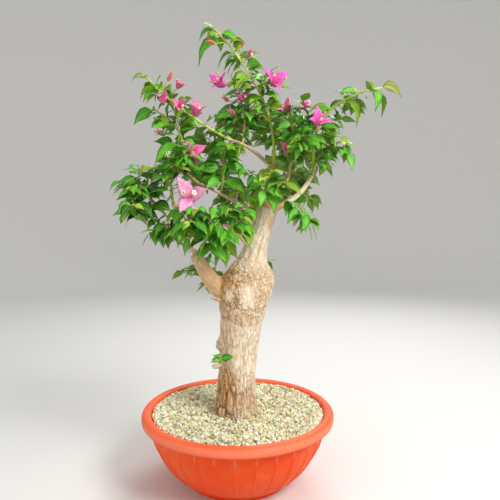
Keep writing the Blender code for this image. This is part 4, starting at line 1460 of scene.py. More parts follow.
    def bark_at(self, name: str, angle: float, length: float, radius: float, place: np.ndarray,
                share: float) -> tuple[float, ...]:
        """Relief and tone of the bark at one place.

        Args:
            name: Limb that the place is on.
            angle: Turn about the limb's centre line.
            length: Distance along the limb.
            radius: The limb's radius there.
            place: The place itself.
            share: How much of the place is this limb's own, less than 1 near a fork.

        Returns:
            Rise in metres, then crack with a painted shadow in the seam's crease, warmth with painted shade
            on the trunk's left side, sawn wood and furrows, each of these from 0 to 1.
        """
        grain = self.grains[name]
        own = smoothstep(0.45, 0.9, share)
        where = Vector(place)
        height = length / MM
        zone = self.trunk_zone(height, where) if name == "trunk" else Zone(grain.depth, grain.warm)
        coarse, left, plain = zone.coarse, zone.left, 1 - zone.smooth
        rise, crack, warm = 0.0, 0.0, zone.warm
        for finer, part, seed in ((1.0, 1.0, 0), (0.48, 0.5, 5)):
            girth = max(radius / MM, 8.0) / (finer * grain.width * (1 - 0.15 * coarse))
            bend = 0.5 * noise.noise(where * 70 + Vector((seed, 0, 0)))
            rings = height / (finer * grain.along * (1 + 0.5 * coarse)) + 0.4 * bend + seed
            part *= 1 - 0.3 * coarse * (finer < 1)
            at = Vector((math.cos(angle) * girth + bend, math.sin(angle) * girth, rings))
            first, second = noise.voronoi(at)[0][:2]
            valley = 1 - smoothstep(0.02, 0.14 + 0.06 * coarse, second - first)
            rise -= part * zone.depth * valley
            # Cracks at the foot are darker on the left side: partly painted shade.
            crack = max(crack, part * valley * (0.32 + (0.12 + 0.3 * left) * coarse))
            rise += part * 0.35 * zone.depth * noise.noise(at * 0.7)
        crack *= own * plain
        rise *= own * (1 - 0.9 * zone.smooth)
        rough = max(zone.gnarl, 0.25 * (1 - own))
        if rough > 0.01:
            bent = where * 150 + Vector((noise.noise(where * 120), noise.noise(where * 110), 0.4))
            first, second = noise.voronoi(Vector((bent.x, bent.y, 0.7 * bent.z)))[0][:2]
            flake = smoothstep(0.0, 0.22, second - first)
            lumps = noise.noise(where * 80)
            rise += rough * (1.9 * flake - 1.5 + 2.2 * lumps) * (1 - 0.85 * zone.smooth)
            crack = max(crack * (1 - 0.5 * rough), rough * 0.36 * (1 - flake) * plain)
            # Flake hollows are warmer, more so on the left side, where it is partly painted shade.
            warm += (0.45 + 0.4 * left) * rough * (1 - flake)
        if name in ("trunk", "leader"):
            reach = smoothstep(196, 232, height) if name == "trunk" else 1 - smoothstep(60, 100, height)
            flute = math.sin(self.flutes * angle + 2.4 * noise.noise(where * 32))
            rise += reach * 0.9 * flute * plain
        rise += 0.4 * noise.noise(where * 420) * (1 - 0.5 * zone.smooth)
        rise += -1.3 * zone.crease + 1.2 * zone.ridge + 0.5 * zone.smooth
        warm = min(max(warm + 0.35 * noise.noise(where * 38) + 0.2 * (1 - own), 0.0), 1.0) * plain
        cut = self.sawn_at(name, length, where)
        furrow = {"trunk": 0.75, "leader": 0.5}.get(name, 0.2) * plain + 0.25 * coarse
        lift = rise * MM * min(1.0, radius / (12 * MM))
        # The crease adds a painted shadow to the crack tone.
        return lift, min(crack + 0.5 * zone.crease, 1.0), warm, cut, min(furrow, 1.0) * (1 - cut)

    def trunk_zone(self, height: float, where: Vector) -> Zone:
        """Find what the trunk's bark is like: coarse at the foot, gnarled on the burl, bare in places. Its
        left side is painted warmer and darker, partly its own colour and partly painted shade, and the
        seam's crease gets a painted shadow.

        Args:
            height: Height above the gravel in mm.
            where: The place.

        Returns:
            The bark there.
        """
        x, y, z = (value / MM for value in where)
        # Left side, away from the key light: its bark is painted warmer and darker, partly its own colour
        # and partly painted shade.
        left = smoothstep(12, -22, x)
        low = 30 + 26 * left
        coarse = 1 - smoothstep(low, low + 34, height + 16 * noise.noise(where * 25))
        zone = Zone(self.grains["trunk"].depth + 1.7 * coarse, 0.0, coarse=coarse, left=left)
        wander = 9 * noise.noise(where * 30)
        gnarl = smoothstep(146, 168, height - wander) * (1 - smoothstep(222, 250, height))
        # The seam's crease under the burl's overhang: a groove, darkened as a painted shadow.
        zone.crease = 0.5 * bell(height - self.seam_height - wander, 2.2) * smoothstep(24, -10, y)
        zone.ridge = 0.5 * bell(height - self.ridge_height, 6)
        # The left-side terms here are partly painted shade; the warm foot and burl are the bark's own
        # colour.
        zone.warm = 0.04 + 0.22 * left + (0.3 + 0.3 * left) * coarse + (0.2 + 0.05 * left) * gnarl
        zone.gnarl = max(gnarl, bell((where - KNOB).length, 13 * MM, 4))
        for across, up, wide, tall in PALE_PATCHES:
            patch = math.exp(-((x - across) / wide) ** 4 - ((z - up) / tall) ** 4)
            zone.smooth = max(zone.smooth, 0.8 * patch * smoothstep(-12, -20, y))
        if where.y < 0:
            zone.warm += 0.5 * math.exp(-((x + 24) / 16) ** 2 - ((z - 325) / 30) ** 2)
        return zone

    def sawn_at(self, name: str, length: float, place: Vector) -> float:
        """How far a place lies on sawn or broken wood: a limb's end or the face by the right bough.

        Args:
            name: Limb that the place is on.
            length: Distance along the limb.
            place: The place.

        Returns:
            A value from 0 to 1.
        """
        scar = (place - SAWN_FACE).length
        face = 1 - smoothstep(11 * MM, 17 * MM, scar + 2 * MM * noise.noise(place * 90))
        if name in ("trunk", "right_bough"):
            return 0.9 * face
        end = self.paths[name].length()
        reach = {"leader": 2.0, "sawn_limb": 1.0, "leader_spur": 22.0}[name] * MM
        return max(0.9 * face, smoothstep(end - 2 * reach, end - 0.4 * reach, length))


@dataclass(frozen=True)
class Bloom:
    """A bloom: the share of the stem that bears it, where its mouth stands, bract length (mm), colour."""

    at: float
    offset: tuple
    size: float
    petal: Petal = Petal.PINK
    tubes: int = 3
    face: tuple = None
    turn: float = 0.0


@dataclass(frozen=True)
class Spray:
    """A mass of leaves: one stem, its side twigs, leaves and blossom (sizes in mm)."""

    name: str
    carrier: str
    at: float
    reach: tuple
    bow: tuple = (0, 0, 0)
    sway: tuple = (0, 0, 0)
    radii: tuple = (1.9, 1.1)
    leaf: tuple = (42, 32)
    spacing: float = 17
    droop: float = 0.62
    twigs: int = 3
    twig_length: float = 40
    seed: int = 1
    blooms: tuple = ()
    leaves: tuple = ()
    tones: tuple = (Tone.DEEP, Tone.MID, Tone.FRESH)
    skin: Skin = Skin.TAN
    finer: float = 8


SHADE = (Tone.DEEP, Tone.DEEP, Tone.MID)
SUNNY = (Tone.MID, Tone.FRESH, Tone.FRESH)
AIRY = (Tone.OLIVE, Tone.OLIVE, Tone.FRESH)

SPRAYS = (
    Spray("top_spray", "leader_spur", 1.0, (-90, -28, 199), (28, 6, 0), radii=(2.4, 1.2),
          leaf=(44, 38), spacing=15, twig_length=34, seed=11, tones=AIRY, skin=Skin.LIME,
          blooms=(Bloom(0.70, (-44, -22, -34), 32, Petal.MAGENTA, 3, (-0.6, -0.7, 0.4), 1.0),
                  Bloom(0.60, (34, -22, -5), 36, Petal.MAGENTA, 3, (0.4, -0.8, 0.4)),
                  Bloom(0.76, (11, -12, 8), 17, Petal.PINK, 2),
                  Bloom(0.84, (11, -6, 6), 15, Petal.SALMON, 0),
                  Bloom(0.9, (-22, -18, -9), 16, Petal.SALMON, 0)),
          leaves=((0.91, (-44, 4, -40)), (0.98, (-28, -6, -18)), (0.96, (26, -4, -17)),
                  (0.83, (-28, 4, -23)), (0.74, (31, 8, -3)), (0.69, (22, -16, 2)),
                  (0.65, (-27, -26, -36)), (0.62, (12, 16, -28)), (0.52, (27, -14, -12)),
                  (0.5, (-30, 22, -30)), (0.42, (24, -28, -14)))),
    Spray("upper_left_spray", "upper_left_bough", 1.0, (-120, -32, 83), (-3, 0, -6),
          leaf=(44, 32), spacing=16, seed=12, tones=AIRY, skin=Skin.LIME,
          blooms=(Bloom(0.5, (18, -26, -13), 30, Petal.PINK, 3, (0.25, -0.5, 0.8)),
                  Bloom(0.60, (2, -18, -6), 22, Petal.PINK, 2),
                  Bloom(0.76, (-4, -14, -20), 24, Petal.PINK, 2, (-0.1, -0.4, 0.9)),
                  Bloom(0.72, (16, -10, 18), 20, Petal.PINK, 2),
                  Bloom(0.83, (14, -4, 18), 16, Petal.SALMON, 0)),
          leaves=((0.86, (-26, -8, -19)), (0.98, (-16, 6, 4)), (0.84, (-10, 12, -16)),
                  (0.56, (-6, -16, -26)), (0.32, (-36, -12, -30)), (0.7, (-8, 14, -28)))),
    Spray("left_riser_spray", "low_left_bough", 1.0, (-32, 28, 144), (23, -5, 1), (-13, 0, 0),
          leaf=(46, 34), spacing=16, twig_length=46, seed=13, tones=SUNNY, skin=Skin.GREEN,
          blooms=(Bloom(0.84, (-12, -6, -24), 18, Petal.SALMON, 0, (-0.85, -0.3, 0.45)),
                  Bloom(0.56, (22, -16, -9), 30, Petal.PINK, 1, (0.7, -0.7, 0.05)),
                  Bloom(0.12, (38, -34, -9), 34, Petal.PALE, 2, (0.0, -0.95, 0.3), 0.74),
                  Bloom(0.44, (-9, -14, 6), 14, Petal.CREAM, 3)),
          leaves=((0.99, (-31, -4, -22)), (0.93, (5, -14, -27)), (0.63, (-35, -14, -32)),
                  (0.6, (-14, 10, -16)), (0.35, (-27, -8, 2)))),
    Spray("left_tip_spray", "far_left_bough", 1.0, (-36, -14, 28), (0, 0, 5),
          spacing=12, twigs=4, seed=14, tones=SUNNY,
          leaves=((0.98, (-16, -4, -8)), (0.55, (-21, -10, -24)), (0.25, (-29, -12, -25)))),
    Spray("left_low_spray", "far_left_bough", 0.82, (-46, -36, 2), (0, 0, 8),
          spacing=12, twig_length=36, seed=15,
          leaves=((0.4, (36, -28, -8)),)),
    Spray("left_droop_spray", "far_left_bough", 0.5, (-26, -42, -6), (0, 0, 8),
          leaf=(44, 34), spacing=13, twigs=2, twig_length=30, seed=16,
          leaves=((0.6, (-15, -6, -26)), (0.15, (-9, -8, -34)))),
    Spray("mid_left_spray", "mid_left_bough", 1.0, (-38, -20, 22), (0, 0, 6),
          spacing=15, seed=17),
    Spray("mid_riser_spray", "mid_left_bough", 0.62, (-4, 10, 84), (5, -2, 0),
          leaf=(44, 34), seed=18, tones=SUNNY, skin=Skin.GREEN,
          leaves=((0.45, (-40, -14, -3)), (0.98, (3, -12, -31)), (0.25, (37, -16, -24)),
                  (0.5, (40, 12, -12)))),
    Spray("low_front_spray", "low_left_bough", 0.62, (20, -22, -48), (-4, -12, 12),
          leaf=(48, 38), spacing=13, twig_length=34, seed=19, tones=SUNNY,
          leaves=((0.4, (-36, -14, -26)), (0.75, (-36, -4, -24)), (0.35, (0, -26, -32)),
                  (0.15, (16, -22, -8)), (0.7, (23, -12, -26)),
                  (0.98, (10, -6, -30)), (0.9, (28, 4, -24)))),
    Spray("low_arch_spray", "low_left_bough", 0.84, (6, -26, -40), (-4, -8, 10),
          leaf=(46, 36), spacing=14, twigs=2, twig_length=32, seed=37,
          leaves=((0.3, (-14, -10, -24)),)),
    Spray("low_mid_spray", "low_left_bough", 0.36, (26, -40, -6), (0, 0, 10),
          leaf=(44, 36), spacing=13, twigs=2, twig_length=34, seed=20, tones=SUNNY, finer=18),
    Spray("front_spray", "leader_spur", 0.25, (-6, -60, 12), (0, 0, 12),
          leaf=(44, 36), spacing=14, seed=21, tones=SUNNY, finer=13,
          leaves=((0.9, (-17, 6, -42)), (0.2, (-19, -14, -15)), (0.7, (12, -8, -42)),
                  (0.4, (-12, -6, -34)))),
    Spray("inner_right_spray", "inner_right_bough", 1.0, (42, -42, 52), (0, -4, 8),
          twigs=4, twig_length=48, seed=22, tones=SUNNY,
          blooms=(Bloom(0.9, (-7, -30, 1), 32, Petal.MAGENTA, 3, (0.1, -0.8, 0.5)),),
          leaves=((0.6, (24, -16, -11)),)),
    Spray("inner_top_spray", "inner_right_bough", 0.72, (4, -6, 104), (4, -16, 0),
          spacing=18, twigs=4, twig_length=46, seed=23, skin=Skin.GREEN,
          blooms=(Bloom(0.92, (-8, -9, 4), 26, Petal.PINK, 3),
                  Bloom(0.94, (20, -8, 6), 24, Petal.MAGENTA, 2),
                  Bloom(0.54, (-11, -12, 0), 18, Petal.PINK, 1),
                  Bloom(0.36, (-7, -20, -3), 24, Petal.PINK, 1))),
    Spray("crown_spray", "upper_left_bough", 0.72, (-4, 18, 74), (6, 0, 0),
          twigs=4, twig_length=50, seed=24,
          blooms=(Bloom(0.52, (-18, -20, 4), 18, Petal.PINK, 1),
                  Bloom(0.86, (1, -18, 4), 22, Petal.PINK, 2),
                  Bloom(0.9, (-22, -18, -2), 16, Petal.SALMON, 0)),
          leaves=((0.75, (-42, -10, -18)),)),
    Spray("right_long_spray", "right_bough", 1.0, (94, -44, 116), (-33, 0, 22), radii=(2.4, 1.2),
          leaf=(46, 34), spacing=18, twigs=2, twig_length=30, seed=25, tones=AIRY, skin=Skin.LIME,
          leaves=((0.68, (22, -14, -47)), (0.83, (-28, -8, -2)), (0.8, (8, 10, -34)),
                  (0.92, (5, -10, -41)), (0.94, (16, 10, -46)), (0.96, (-12, 4, 12)),
                  (0.985, (38, 8, -13)), (0.57, (-35, -4, -4)), (0.6, (8, 14, -20)))),
    Spray("right_spray", "right_bough", 0.86, (46, -30, 50), (-8, 0, 12),
          spacing=14, twig_length=42, seed=26, tones=SUNNY, skin=Skin.GREEN,
          leaves=((0.8, (11, -14, -22)), (0.95, (9, -6, -29)), (0.6, (0, -10, -24)),
                  (0.3, (10, -28, -18)))),
    Spray("right_small_spray", "right_bough", 0.3, (30, -30, -36), (6, -4, 8),
          radii=(1.6, 1.0), leaf=(40, 32), spacing=14, twigs=1, twig_length=26, seed=27, tones=SUNNY,
          leaves=((0.6, (2, -16, -32)),)),
    Spray("back_left_spray", "back_left_bough", 1.0, (-68, 46, 36), (0, 6, 8),
          leaf=(44, 32), twigs=4, twig_length=56, seed=28,
          blooms=(Bloom(0.7, (-6, 14, 16), 28, Petal.MAGENTA), Bloom(0.95, (-10, 10, 16), 24, Petal.PINK))),
    Spray("back_low_spray", "back_left_bough", 0.6, (-20, 66, -48), (0, 8, 14),
          leaf=(46, 34), twig_length=46, seed=42),
    Spray("back_riser_spray", "back_left_bough", 0.8, (-24, -4, 96), (-8, 8, 0),
          leaf=(44, 32), spacing=18, twigs=4, twig_length=54, seed=30, skin=Skin.GREEN,
          blooms=(Bloom(0.9, (4, 12, 16), 28, Petal.PINK), Bloom(0.6, (-16, 18, 4), 24, Petal.MAGENTA))),
    Spray("back_right_spray", "back_right_bough", 1.0, (56, 44, 48), (0, 6, 10),
          leaf=(44, 32), twigs=4, twig_length=54, seed=31, tones=SUNNY,
          blooms=(Bloom(0.75, (12, 14, 14), 28, Petal.MAGENTA),)),
    Spray("back_top_spray", "back_right_bough", 0.7, (-24, 6, 112), (6, 12, 0),
          spacing=19, twigs=4, twig_length=52, seed=32, skin=Skin.GREEN,
          blooms=(Bloom(0.9, (8, 14, 12), 28, Petal.MAGENTA), Bloom(0.6, (18, 14, 6), 22, Petal.PINK))),
    Spray("back_right_low_spray", "back_right_bough", 0.55, (48, 40, -36), (0, 4, 12),
          leaf=(44, 34), twig_length=42, seed=33),
    Spray("behind_limb_spray", "trunk", 0.82, (-112, 76, 14), (-6, 10, 10), radii=(1.6, 1.0),
          leaf=(38, 28), spacing=15, twig_length=34, seed=34, tones=SHADE, skin=Skin.GREEN),
    Spray("behind_leader_spray", "leader", 0.38, (28, 44, -12), (4, 6, 6), radii=(1.5, 0.9),
          leaf=(30, 24), spacing=12, twigs=1, twig_length=20, seed=35, tones=AIRY, skin=Skin.GREEN),
    Spray("trunk_sprout", "trunk", 0.35, (-27, -38, 8), (-2, 0, 3), radii=(1.4, 0.9),
          leaf=(26, 16), spacing=30, droop=0.3, twigs=0, seed=36, tones=SUNNY, skin=Skin.LIME,
          leaves=((0.97, (21, -5, 6)), (0.93, (-11, -3, 3)), (0.88, (-10, -8, -5)))),
)


class Room:
    """The room that is taken by limbs, stems, twigs, blossom and leaves, kept in cells."""

    CELL = 0.03

    def __init__(self) -> None:
        """Start with all of it free."""
        self.cells: dict = defaultdict(list)

    def cells_of(self, points: np.ndarray) -> Iterable[tuple]:
        """Cells that the box of some points touches.

        Args:
            points: The points.

        Returns:
            The numbers of the cells, one after the other.
        """
        low = np.floor(points.min(axis=0) / self.CELL).astype(int)
        high = np.floor(points.max(axis=0) / self.CELL).astype(int)
        for x in range(low[0], high[0] + 1):
            for y in range(low[1], high[1] + 1):
                for z in range(low[2], high[2] + 1):
                    yield (x, y, z)

    def add(self, shape: tuple, tag: str) -> None:
        """Record a shape under a tag.

        Args:
            shape: Points and faces of the shape.
            tag: Tag by which others may be let touch it.
        """
        points, faces = shape
        entry = (tag, BVHTree.FromPolygons(points.tolist(), faces))
        for cell in self.cells_of(points):
            self.cells[cell].append(entry)

    def is_free(self, shape: tuple, allowed: Sequence[str] = ()) -> bool:
        """Say whether a shape touches nothing but what it may grow from.

        Args:
            shape: Points and faces of the shape.
            allowed: Tags that it may touch.

        Returns:
            True where there is room for it.
        """
        points, faces = shape
        tree = BVHTree.FromPolygons(points.tolist(), faces)
        seen = set()
        for cell in self.cells_of(points):
            for tag, other in self.cells.get(cell, ()):
                if tag in allowed or id(other) in seen:
                    continue
                seen.add(id(other))
                if tree.overlap(other):
                    return False
        return True


def outward(tangent: Vector, azimuth: float) -> Vector:
    """Direction square to a stem.

    Args:
        tangent: The stem's own direction.
        azimuth: Turn about it from its upper side.

    Returns:
        The unit direction.
    """
    side = tangent.cross(UP)
    if side.length < 0.2:
        side = tangent.cross(Vector((0, 1, 0)))
    side.normalize()
    top = side.cross(tangent).normalized()
    return top * math.cos(azimuth) + side * math.sin(azimuth)


def tube_shape(path: Path, radii: Sequence[float], sides: int, grow: float = 0.0) -> tuple:
    """Points and faces of a tapering prism along a path, for the room that it takes.

    Args:
        path: The centre line.
        radii: Radius at its start and at its end.
        sides: Faces round it.
        grow: Clearance added on all sides.

    Returns:
        Points and faces.
    """
    points = []
    for i in range(path.rings + 1):
        t = i / path.rings
        radius = radii[1] + (radii[0] - radii[1]) * (1 - t) + grow
        centre = path.curve(t)
        centre += path.tangent(t) * (grow if i == path.rings else -grow if i == 0 else 0.0)
        points += [centre + outward(path.tangent(t), math.tau * k / sides) * radius for k in range(sides)]
    faces = [list(range(sides)), list(range(path.rings * sides, (path.rings + 1) * sides))]
    for i in range(path.rings):
        for k in range(sides):
            after = (k + 1) % sides
            faces.append([i * sides + k, i * sides + after, (i + 1) * sides + after, (i + 1) * sides + k])
    return np.array(points), faces


def blade_side(out: Vector, root: Vector, sky: float, roll: float) -> Vector:
    """Direction across a leaf whose face opens up and away from the middle of the crown.

    Args:
        out: Direction in which the leaf leaves its twig.
        root: Where it is rooted.
        sky: How much it faces up rather than outward, from 0 to 1.
        roll: Turn about its own rib.

    Returns:
        The direction, square to the leaf's own.
    """
    away = Vector((0.4 * (root.x - CROWN_MIDDLE.x), root.y - CROWN_MIDDLE.y, 0)).normalized()
    side = out.cross(UP * sky + away * (1 - sky))
    if side.length < 0.15:
        side = out.cross(UP)
    if side.length < 0.15:
        side = Vector((1, 0, 0))
    side.normalize()
    side.rotate(Matrix.Rotation(roll, 3, out))
    return side


def four(rng: random.Random) -> list[float]:
    """Four random values from -1 to 1: for a leaf's size, turn, droop and roll."""
    return [rng.uniform(-1, 1) for _ in range(4)]


@dataclass
class Leaf:
    """One leaf: where it is rooted, how it leaves its twig, how it hangs, and how large it is."""

    BEND = 0.42
    DROP = 0.58
    root: Vector
    out: Vector
    hang: Vector
    side: Vector
    length: float
    tone: Tone = Tone.MID
    width: float = 0.46
    fold: float = 0.2

    def tip(self) -> Vector:
        """Place of its tip."""
        return self.root + self.out * (self.BEND * self.length) + self.hang * (self.DROP * self.length)

    def shape(self, grow: float = 0.0, shift: float = 0.0) -> tuple:
        """Points and faces of the leaf's plain octahedron, for the room that it takes.

        Args:
            grow: Clearance added on all sides.
            shift: How far it is moved out along its stalk.

        Returns:
            Points and faces.
        """
        root = self.root + self.out * shift
        normal = self.side.cross(self.out).normalized()
        neck = root + self.out * (0.2 * self.length)
        middle = root + self.out * (self.BEND * self.length)
        tip = middle + self.hang * (self.DROP * self.length + 2 * grow)
        half = self.length * self.width / 2 + grow
        rise = self.length * 0.008 + grow
        left = middle - self.side * half + normal * (0.12 * half)
        right = middle + self.side * half + normal * (0.12 * half)
        points = [root, neck + normal * rise, neck - normal * rise, left, right, tip]
        faces = [(0, 3, 1), (0, 1, 4), (0, 2, 3), (0, 4, 2), (5, 1, 3), (5, 4, 1), (5, 3, 2), (5, 2, 4)]
        return np.array(points), faces


def stem_points(template: Template, path: Path, radius: Callable[[float], float]) -> np.ndarray:
    """Bend a unit tube along a path.

    Args:
        template: The tube.
        path: The centre line.
        radius: Radius at a share of the length.

    Returns:
        Places of the tube's points.
    """
    frames = {}
    side = outward(path.tangent(0.0), 0.0)
    for share in np.unique(np.round(template.points[:, 2], 4)):
        ahead = path.tangent(share)
        side = (side - ahead * side.dot(ahead)).normalized()
        across = [np.array(way) for way in (side, ahead.cross(side))]
        frames[share] = (np.array(path.curve(share)), *across, radius(share))
    points = np.empty_like(template.points)
    for i, (x, y, z) in enumerate(template.points):
        centre, first, second, size = frames[np.round(z, 4)]
        points[i] = centre + (first * x + second * y) * size
    return points


class Foliage:
    """Everything that grows from the limbs: light boughs, stems, twigs, leaves and blossom."""

    MARGIN = 0.25 * MM
    TRIES = 6
    FIRST_NODE = 11 * MM
    NODE_PITCH = 13 * MM
    COLLAR = 3.5 * MM
    STALK = 0.14
    VIEW_DEPTH = (9 * MM, 62 * MM)
    GROUPS = {"leaves_top": 3, "leaves_left": 7, "leaves_low": 12, "leaves_middle": 15, "leaves_right": 18,
              "leaves_back": 27}
    LEAF_ROWS = ((0.0, 0.0), (0.08, 0.4), (0.23, 0.88), (0.41, 1.0), (0.62, 0.76), (0.82, 0.28), (1.0, 0.0))
    BRACT_ROWS = ((0.0, 0.0), (0.05, 0.42), (0.18, 0.84), (0.36, 1.0), (0.55, 0.82), (0.73, 0.48),
                  (0.88, 0.18), (1.0, 0.0))

    def __init__(self, paths: dict) -> None:
        """Make the shapes that are copied and take the room of the limbs.

        Args:
            paths: Centre lines of the trunk and the limbs.
        """
        self.paths = paths
        self.room = Room()
        self.leaves = [Batch() for _ in self.GROUPS]
        self.shoots = Batch()
        self.bracts = Batch()
        self.leaf_shape = blade_template(self.LEAF_ROWS)
        self.bract_shape = blade_template(self.BRACT_ROWS)
        self.bough_tube = tube_template(12, 28)
        self.stem_tube = tube_template(8, 18)
        self.twig_tube = tube_template(6, 7)
        self.stalk_tube = tube_template(5, 3)
        self.star = star_template(5, 0.62, 0.18)
        for name in self.paths:
            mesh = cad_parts[name].data
            points = np.array([vert.co[:] for vert in mesh.vertices])
            self.room.add((points, [tuple(face.vertices) for face in mesh.polygons]), name)
        bough = self.paths["low_left_bough"]
        start, end = bough.curve(0.02), bough.curve(0.4)
        self.keep_in_sight(Path(start, end - start, (0, 0, 0), unit=1.0, rings=1), 3 * MM)

    def keep_in_sight(self, path: Path, radius: float) -> None:
        """Hang thin curtains between a path and the eye, which few leaves then cross.

        Args:
            path: Centre line of what stays in sight.
            radius: Half the width of the clear strip.
        """
        count = 4 * path.rings
        for shift in (-radius, radius):
            line = [path.curve(i / count) + Vector((shift, 0, 0)) for i in range(count + 1)]
            rays = [(Vector(Studio.camera_place) - point).normalized() for point in line]
            points = [point + ray * depth for point, ray in zip(line, rays) for depth in self.VIEW_DEPTH]
            faces = [(2 * i, 2 * i + 1, 2 * i + 3, 2 * i + 2) for i in range(count)]
            self.room.add((np.array(points), faces), "view")

    def tube(self, template: Template, path: Path, radii: Sequence[float], skin: Skin,
             knots: float = 0.0) -> None:
        """Add a shoot along a path.

        Args:
            template: The tube that is bent.
            path: The centre line.
            radii: Radius at the start and at the end.
            skin: Its colour.
            knots: How far its nodes stand out, as a share of its radius.
        """
        length = path.length()

        def radius(t: float) -> float:
            """Radius of the shoot, thicker at its nodes and where it leaves its carrier.

            Args:
                t: Share of its length.

            Returns:
                The radius.
            """
            size = radii[1] + (radii[0] - radii[1]) * (1 - t)
            node = math.cos(math.tau * length * t / self.NODE_PITCH) ** 8
            collar = 0.7 * math.exp(-t * length / self.COLLAR)
            return size * (1 + knots * node + collar * knots * 2)

        self.shoots.add(template, stem_points(template, path, radius), [skin.value])

    def group_of(self, spray: Spray) -> int:
        """Number of the piece that takes the leaves of a spray."""
        place = SPRAYS.index(spray)
        return next(i for i, end in enumerate(self.GROUPS.values()) if place < end)

    def leaf(self, leaf: Leaf, group: int, wave: float) -> None:
        """Add a leaf with its stalk.

        Args:
            leaf: The leaf.
            group: Number of the piece that takes it.
            wave: How wavy its margin is, from -1 to 1.
        """
        shape = self.leaf_shape.points
        base = leaf.root + leaf.out * (self.STALK * leaf.length)
        along = shape[:, 1][:, None]
        centre, ahead = arch(base, leaf.root + leaf.out * (0.46 * leaf.length), leaf.tip(), along)
        side = np.array(leaf.side)[None, :] - ahead * (ahead @ np.array(leaf.side))[:, None]
        side /= np.linalg.norm(side, axis=1)[:, None]
        across = shape[:, 0] * leaf.length * leaf.width
        out = np.abs(shape[:, 0]) * 2
        half = leaf.length * leaf.width / 2
        lift = leaf.fold * half * out - 0.13 * half * out ** 2
        lift += 0.09 * half * wave * out * np.sin(along[:, 0] * 9)
        lift += shape[:, 2] * 0.16 * MM
        points = centre + side * across[:, None] + np.cross(side, ahead) * lift[:, None]
        self.leaves[group].add(self.leaf_shape, points, [leaf.tone.value, Tone.UNDER.value])
        skin = Skin.LIME if leaf.tone in (Tone.YOUNG, Tone.OLIVE, Tone.BRONZE) else Skin.GREEN
        thick = 0.45 * MM + 0.008 * leaf.length
        stalk = Path(leaf.root, base - leaf.root, (0, 0, 0), unit=1.0)
        points = stem_points(self.stalk_tube, stalk, lambda t: thick * (1.1 - 0.3 * t))
        self.shoots.add(self.stalk_tube, points, [skin.value])

    def grow(self) -> None:
        """Grow boughs, stems, twigs, blossom and leaves in turns, so that each keeps its space."""
        for limb in LIGHT:
            radii = (limb.radii[0] * MM, limb.radii[1] * MM)
            self.tube(self.bough_tube, self.paths[limb.name], radii, Skin.WOODY, 0.14)
        growers = [Grower(self, spray) for spray in SPRAYS]
        for stage in (Grower.reserve, Grower.grow_blooms, Grower.grow_chief_leaves, Grower.grow_twigs,
                      Grower.grow_leaves, Grower.grow_twiglets, Grower.grow_tips):
            for grower in growers:
                stage(grower)
        LOG.info("leaves: %d", sum(grower.count for grower in growers))

    def pieces(self) -> None:
        """Join what has grown in one piece for each kind and dress it."""
        shoots = self.shoots.piece("shoots", SKIN_FINISHES)
        bracts = self.bracts.piece("bracts", PETAL_FINISHES)
        leaves = [batch.piece(name, LEAF_FINISHES) for name, batch in zip(self.GROUPS, self.leaves)]
        for piece in (shoots, bracts, *leaves):
            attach(piece, BODY)
        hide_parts(*[limb.name for limb in LIMBS if limb.name not in HEAVY_LIMBS])
        for group, piece in enumerate(leaves):
            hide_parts(*[spray.name for spray in SPRAYS if self.group_of(spray) == group])


@dataclass
class Stem:
    """A stem, twig or shoot: its tag, centre line, two radii and the distance to its first leaf."""

    tag: str
    path: Path
    radii: tuple
    first: float = 0.0

    def radius(self, at: float) -> float:
        """Radius at a share of its length."""
        return self.radii[0] + (self.radii[1] - self.radii[0]) * at


@dataclass
class Site:
    """Where a leaf may grow: a share of a stem, a turn about it, its radius and four random values."""

    stem: Stem
    at: float
    azimuth: float
    radius: float
    draws: list
    last: bool = False


@dataclass(frozen=True)
class Habit:
    """How blooms of one colour are built: opening in degrees, bract's width and fold, tube's reach."""

    opening: float = 48
    width: float = 0.56
    fold: float = 0.36
    reach: float = 0.6


HABITS = {Petal.MAGENTA: Habit(54, 0.5, 0.36, 0.78), Petal.PALE: Habit(66, 0.66, 0.14, 0.5),
          Petal.CREAM: Habit(reach=0.5)}
BUD = Habit(15, 0.42, 0.6)


